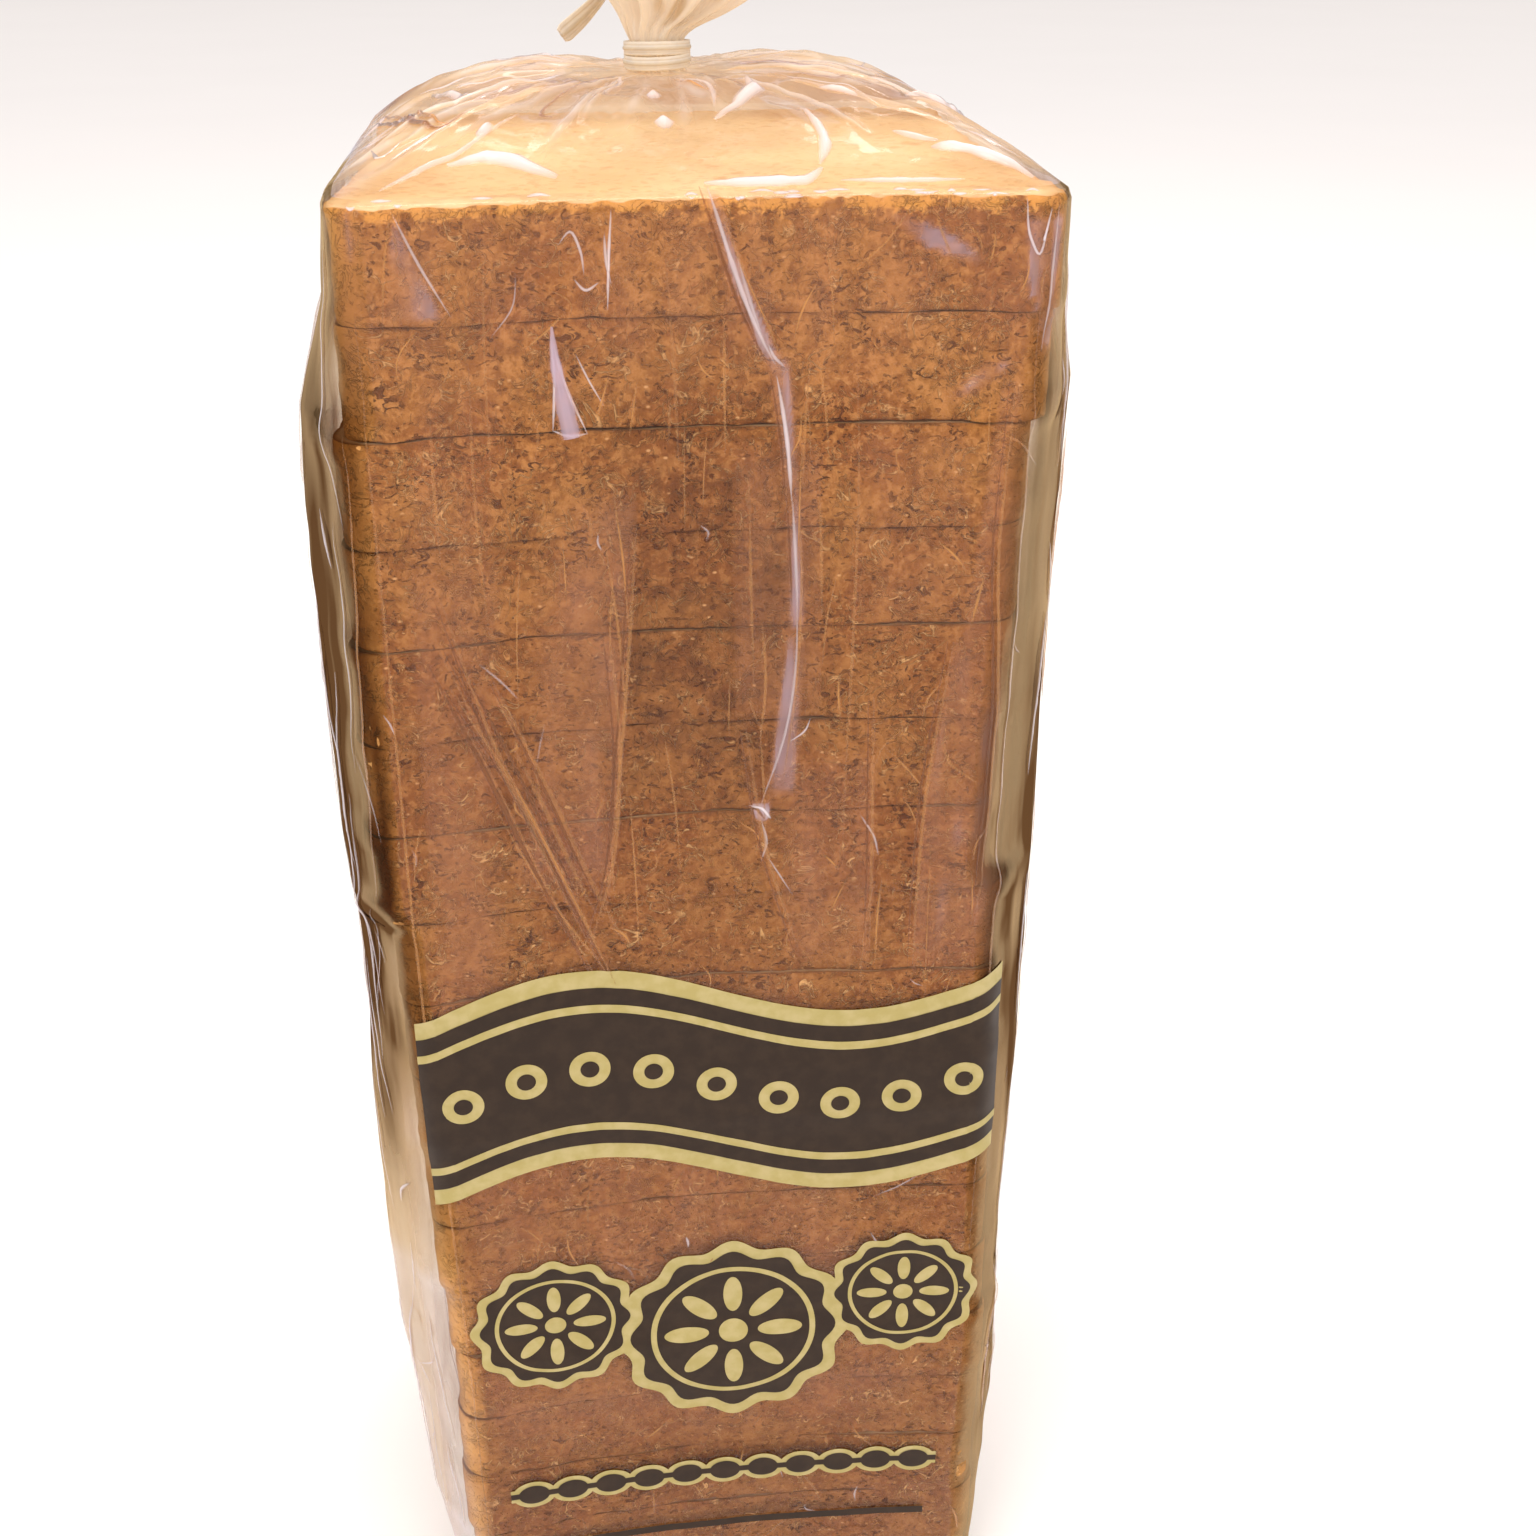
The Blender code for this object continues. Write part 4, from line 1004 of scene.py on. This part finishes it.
def roof_lines():
    """The folds over the top slice: white ones as painted highlights, a brown one as painted shade with a
    golden painted highlight at its side at the back left, short ones that run to the neck as painted shade or
    painted highlight, and scattered white ones as painted highlights."""
    # White folds over the top slice: painted highlights
    lines = [(roof_curve(points, 26, 0.98), 2.2 * half, 1.2 * pale, 0.0, 0.0, 0.0, 0.6)
             for points, half, pale in ROOF_FOLDS]
    # A brown fold as painted shade, with a golden painted highlight at its side
    brown = curve(((43.6, 0.95), (46.3, 0.81), (48.7, 0.72), (51.6, 0.65)), 60)
    golden = curve(((43.4, 0.93), (46.0, 0.79), (48.5, 0.70), (51.4, 0.63)), 60)
    lines += [(brown, 0.7, 0.0, 0.0, 1.3, 0.0, 0.5), (golden, 0.5, 0.5, 1.0, 0.4, 0.0, 0.7)]
    for k in range(26):
        t, start, run = draw((-13.0, 26.0), (0.12, 0.35), (0.15, 0.4))
        points = [(t + rng.normal(0, 0.3) + 0.4 * u, start + run * u) for u in (0, 0.5, 1)]
        look = (0.0, 0.0, rng.uniform(0.5, 1.2)) if k % 2 else (rng.uniform(0.3, 0.8), float(k % 4 == 0), 0.0)
        lines.append((roof_curve(points, 24), rng.uniform(0.3, 0.8), *look, 0.0, 0.25))
    for _ in range(34):
        t, share, run = draw((13.0, 51.0), (0.35, 0.9), (0.05, 0.25))
        side, far_side = rng.normal(0, 0.3), rng.normal(0, 0.6)
        points = ((t, share), (t + side, share + run / 2), (t + far_side, share + run))
        lines.append((roof_curve(points, 20), *draw((0.3, 0.8), (0.3, 0.9)), 0.0, 0.0, 0.0, 0.3))
    return lines


def film_folds(material):
    """Every thin fold of the film as one piece."""
    patches = folds(crease_lines() + scattered_lines(), on_film, 0.05) + folds(roof_lines(), on_roof, 0.1)
    piece("bag_film_folds", patches, [material])


# Print


def disc(s0, d0, radius, slot, out, petals=0, wave=0.0, squash=1.0, inner=0.0, lean=0.0):
    """A filled round shape, or a ring: radius times 1 + wave times the cosine of petals times the angle.
    squash and lean make it a leaning ellipse."""
    angle = np.linspace(0, TAU, 145)[:-1][None, :]
    share = np.linspace(1.0, max(inner, 0.04), int(radius * (1.0 - inner)) + 3)[:, None]
    r = radius * share * (1.0 + wave * np.cos(petals * angle) * share)
    along, beside = r * np.cos(angle), r * np.sin(angle) * squash
    s = s0 + along * math.cos(lean) - beside * math.sin(lean)
    d = d0 - along * math.sin(lean) - beside * math.cos(lean)
    tip = None if inner else on_film([s0], [d0], out)[0][0]
    return patch(on_film(s, d, out)[0], high=tip, slot=slot)


def band(s_from, s_to, middle, half, slot, out):
    """A strip across the front. middle is its centre line's mm below the top: a number or a function of s."""
    s = np.linspace(s_from, s_to, int(s_to - s_from) * 2)[None, :]
    v = np.linspace(1.0, -1.0, 4 + int(2 * half))[:, None]
    centre = middle(s) if callable(middle) else middle
    return patch(on_film(s + 0 * v, centre + v * half, out)[0], closed=False, slot=slot)


def front_print():
    """A wavy band of ringed dots, three rosettes, and a row of beads over a rule, dark brown on khaki."""
    inks = [ink_material("dark_brown_flexo_ink", "#2c1e14", "#35261a", 0.97),
            ink_material("khaki_flexo_ink", "#b3a468", "#bfb07c", 0.93)]
    # The inks' places in the list, and how many mm off the film each layer lies
    dark, khaki = 0, 1
    low, mid, high, top = 0.16, 0.22, 0.28, 0.34
    across = (-50.5, 49.5)

    def wave(s):
        return 148.0 + 5.5 * np.sin(s / 14.5)

    band_parts = [band(*across, wave, 19.5, khaki, low), band(*across, wave, 16.2, dark, mid)]
    for edge in (-12.2, 12.2):
        band_parts.append(band(*across, lambda s: wave(s) + edge, 0.8, khaki, high))
    for k in range(9):
        s0 = -43.6 + 10.8 * k
        band_parts.append(disc(s0, float(wave(s0)), 3.5, khaki, high))
        band_parts.append(disc(s0, float(wave(s0)), 1.6, dark, top))
    piece("print_wavy_band", band_parts, inks)
    for k, (s0, d0, r) in enumerate(((-31.0, 200.0, 15.0), (2.0, 206.0, 21.0), (34.0, 199.0, 14.0))):
        parts = [disc(s0, d0, r, khaki, low, petals=12, wave=0.045),
                 disc(s0, d0, r * 0.88, dark, mid, petals=12, wave=0.05),
                 disc(s0, d0, r * 0.74, khaki, high, inner=0.93)]
        for n in range(8):
            way = TAU * n / 8.0
            petal = (s0 + 0.42 * r * math.cos(way), d0 - 0.42 * r * math.sin(way), 0.20 * r)
            parts.append(disc(*petal, khaki, high, squash=0.42, lean=way))
        parts.append(disc(s0, d0, r * 0.13, khaki, high))
        piece("print_rosette_%d" % (k + 1), parts, inks)
    row, rule = 243.0, 258.0
    beads = [band(-42.0, 42.0, row, 1.6, khaki, low), band(-42.0, 42.0, row, 0.7, dark, mid)]
    for k in range(11):
        s0 = -37.5 + 7.5 * k
        beads.append(disc(s0, row, 4.2, khaki, 0.18, squash=0.82))
        beads.append(disc(s0, row, 3.0, dark, 0.26, squash=0.80))
    beads.append(band(-40.0, 40.0, rule, 0.9, dark, mid))
    piece("print_bead_row", beads, inks)


# Tie


def tie_path():
    """The strip's middle lines: the twist, and the two ears that stand off its end."""
    axis = np.array([(-2.9, 5.6, 13.6), (-3.6, 7.6, 15.6), (-4.6, 9.8, 18.0), (-5.9, 12.2, 20.9),
                     (-7.3, 13.6, 23.2)])
    ear_a = np.array([(-17.4, 10.2, 15.3), (-14.0, 11.4, 17.9), (-10.8, 12.6, 20.7), (-8.6, 13.4, 22.7)])
    ear_b = np.array([(-7.2, 15.2, 25.0), (-5.4, 17.6, 28.2), (-2.0, 19.6, 31.2), (2.0, 21.4, 33.2)])
    return axis, ear_a, ear_b


def strip_piece(name, line, wide, material, half=1.55, thin=0.16, wire=0.36):
    """The strip's section, two thin wings and a round wire between, moved along the line."""
    ahead = unit(np.gradient(line, axis=0))
    across = unit(wide - ahead * (wide * ahead).sum(1)[:, None])
    up = np.cross(ahead, across)
    u = np.array([-1, -0.93, -0.6, -0.32, -0.22, -0.1, 0, 0.1, 0.22, 0.32, 0.6, 0.93, 1.0])
    v = thin + (wire - thin) * np.sqrt(np.clip(1 - (u / 0.27) ** 2, 0, 1))
    v = v * np.where(np.abs(u) > 0.99, 0.4, 1.0)
    section_u = np.concatenate([u, u[::-1]])
    section_v = np.concatenate([-v, v])
    size = np.ones(len(line))
    size[[0, -1]] = 0.72
    size[[1, -2]] = 0.93
    points = line[:, None] + across[:, None] * (section_u * half * size[:, None])[..., None]
    points = points + up[:, None] * section_v[:, None] + np.array([0.0, 0.0, TOP])
    made = patch(points, low=points[0].mean(0), high=points[-1].mean(0), values={"across": section_u})
    piece(name, [made], [material], node="twist_tie")


def tie_pieces(material):
    """The strip twice round the neck, its two halves twisted together, and an ear at each end."""
    axis, ear_a, ear_b = tie_path()
    line = curve(axis, 60)
    ahead = unit(np.gradient(line, axis=0))
    side = unit(np.cross(ahead, [0.0, 0.0, 1.0]))
    other = np.cross(ahead, side)
    angle = np.linspace(0.4, 0.4 + TAU * 1.9, 60)[:, None]
    offset = side * np.cos(angle) + other * np.sin(angle)
    flat = -side * np.sin(angle) + other * np.cos(angle)
    pair_a, pair_b = line + 0.42 * offset, line - 0.42 * offset
    first = np.concatenate([curve(np.vstack([ear_a, pair_a[-1]]), 26)[:-1], pair_a[::-1]])
    wide_1 = np.concatenate([np.linspace((0.62, 0.15, -0.75), flat[-1], 25), flat[::-1]])
    second = np.concatenate([pair_b, curve(np.vstack([pair_b[-1], ear_b]), 28)[1:]])
    wide_2 = np.concatenate([flat, np.linspace(flat[-1], (0.7, 0.1, -0.7), 27)])
    strip_piece("tie_end_down", first, wide_1, material)
    strip_piece("tie_end_up", second, wide_2, material)
    radius = 5.02  # of the strip's middle line round the neck
    round_neck = (0.5 * math.pi + TAU * np.linspace(0, 1, 150))[:, None]
    for k, level in enumerate((12.55, 14.35)):
        height = level + 0.25 * np.sin(round_neck + 0.9 + 2.0 * k)
        loop = np.hstack([NECK_X + radius * np.cos(round_neck), radius * np.sin(round_neck), height])
        upright = np.array([0.0, 0.0, 1.0]) + 0 * loop
        strip_piece("tie_turn_%d" % (k + 1), loop, upright, material, half=0.98, thin=0.13, wire=0.30)


crust = crust_material()
crumb = crumb_material()
clear_film = film_material()
for number in range(SLICES):
    slice_piece(number, crust, crumb)
bag_sides(clear_film)
bag_top(clear_film)
film_folds(clear_film)
front_print()
tie_pieces(tie_material())


# Floor, light, camera


def floor_piece():
    """A wide pale floor under the loaf, for the pictures only."""
    m = Look("pale_studio_floor")
    base = m.mix(m.noise(m.place(), 3.0, 2.0), "#f4f4f5", "#f7f7f8")
    material = m.finish(m.add("BsdfPrincipled", {"Base Color": base, "Roughness": 0.7}))
    x, y = np.meshgrid(np.linspace(-9000, 9000, 60), np.linspace(-9000, 9000, 60))
    piece("floor", [patch(at(x, y, -0.05), closed=False)], [material], body=None)


def area_light(name, place, aim, wide, tall, watts, hexa):
    """A soft rectangular lamp at a place, turned to its aim. Sizes here are in metres."""
    data = bpy.data.lights.new(name, "AREA")
    data.shape = "RECTANGLE"
    data.size, data.size_y = wide, tall
    data.energy = watts
    data.color = colour(hexa)[:3]
    lamp = bpy.data.objects.new(name, data)
    lamp.location = place
    lamp.rotation_euler = (Vector(aim) - Vector(place)).to_track_quat("-Z", "Y").to_euler()
    bpy.context.scene.collection.objects.link(lamp)


def studio_world():
    """White behind the object for the camera, and a dimmer cream as soft light from all round."""
    world = bpy.data.worlds.new("studio")
    bpy.context.scene.world = world
    world.use_nodes = True
    nodes, links = world.node_tree.nodes, world.node_tree.links
    tone = nodes.new("ShaderNodeMix")
    tone.data_type = "RGBA"
    tone.inputs[6].default_value = [0.46 * part for part in colour("#fbeedf")]
    tone.inputs[7].default_value = [0.76 * part for part in colour("#fdf9f8")]
    links.new(nodes.new("ShaderNodeLightPath").outputs["Is Camera Ray"], tone.inputs[0])
    links.new(tone.outputs[2], nodes["Background"].inputs[0])


floor_piece()
area_light("studio_ceiling", (0.0, 0.3, 3.2), (0, 0.3, 0), 16.0, 16.0, 540.0, "#fdfbff")
area_light("panel_over_front", (-0.15, -0.35, 1.6), (0, 0, 0.25), 0.9, 0.35, 8.0, "#fff8ee")
area_light("panel_over_back", (0.2, 0.75, 1.5), (0, 0, 0.28), 1.0, 0.25, 6.5, "#fff8ee")
area_light("key_front_left", (-1.1, -1.5, 1.1), (0, 0, 0.16), 0.8, 0.9, 9.0, "#fff3e4")
area_light("fill_right", (1.3, -1.1, 0.7), (0, 0, 0.15), 0.8, 0.9, 5.0, "#fff8f0")
studio_world()

PITCH = math.radians(27.43)
YAW = math.radians(6.87)
camera = bpy.data.objects.new("camera", bpy.data.cameras.new("camera"))
camera.data.sensor_width = 36.0
camera.data.lens = 41.0
camera.data.clip_start = 0.01
camera.location = (-0.0207, -0.2913, 0.3249)
camera.rotation_euler = (0.5 * math.pi - PITCH, 0.0, -YAW)
bpy.context.scene.collection.objects.link(camera)
bpy.context.scene.camera = camera
bpy.context.scene.view_settings.view_transform = "Standard"
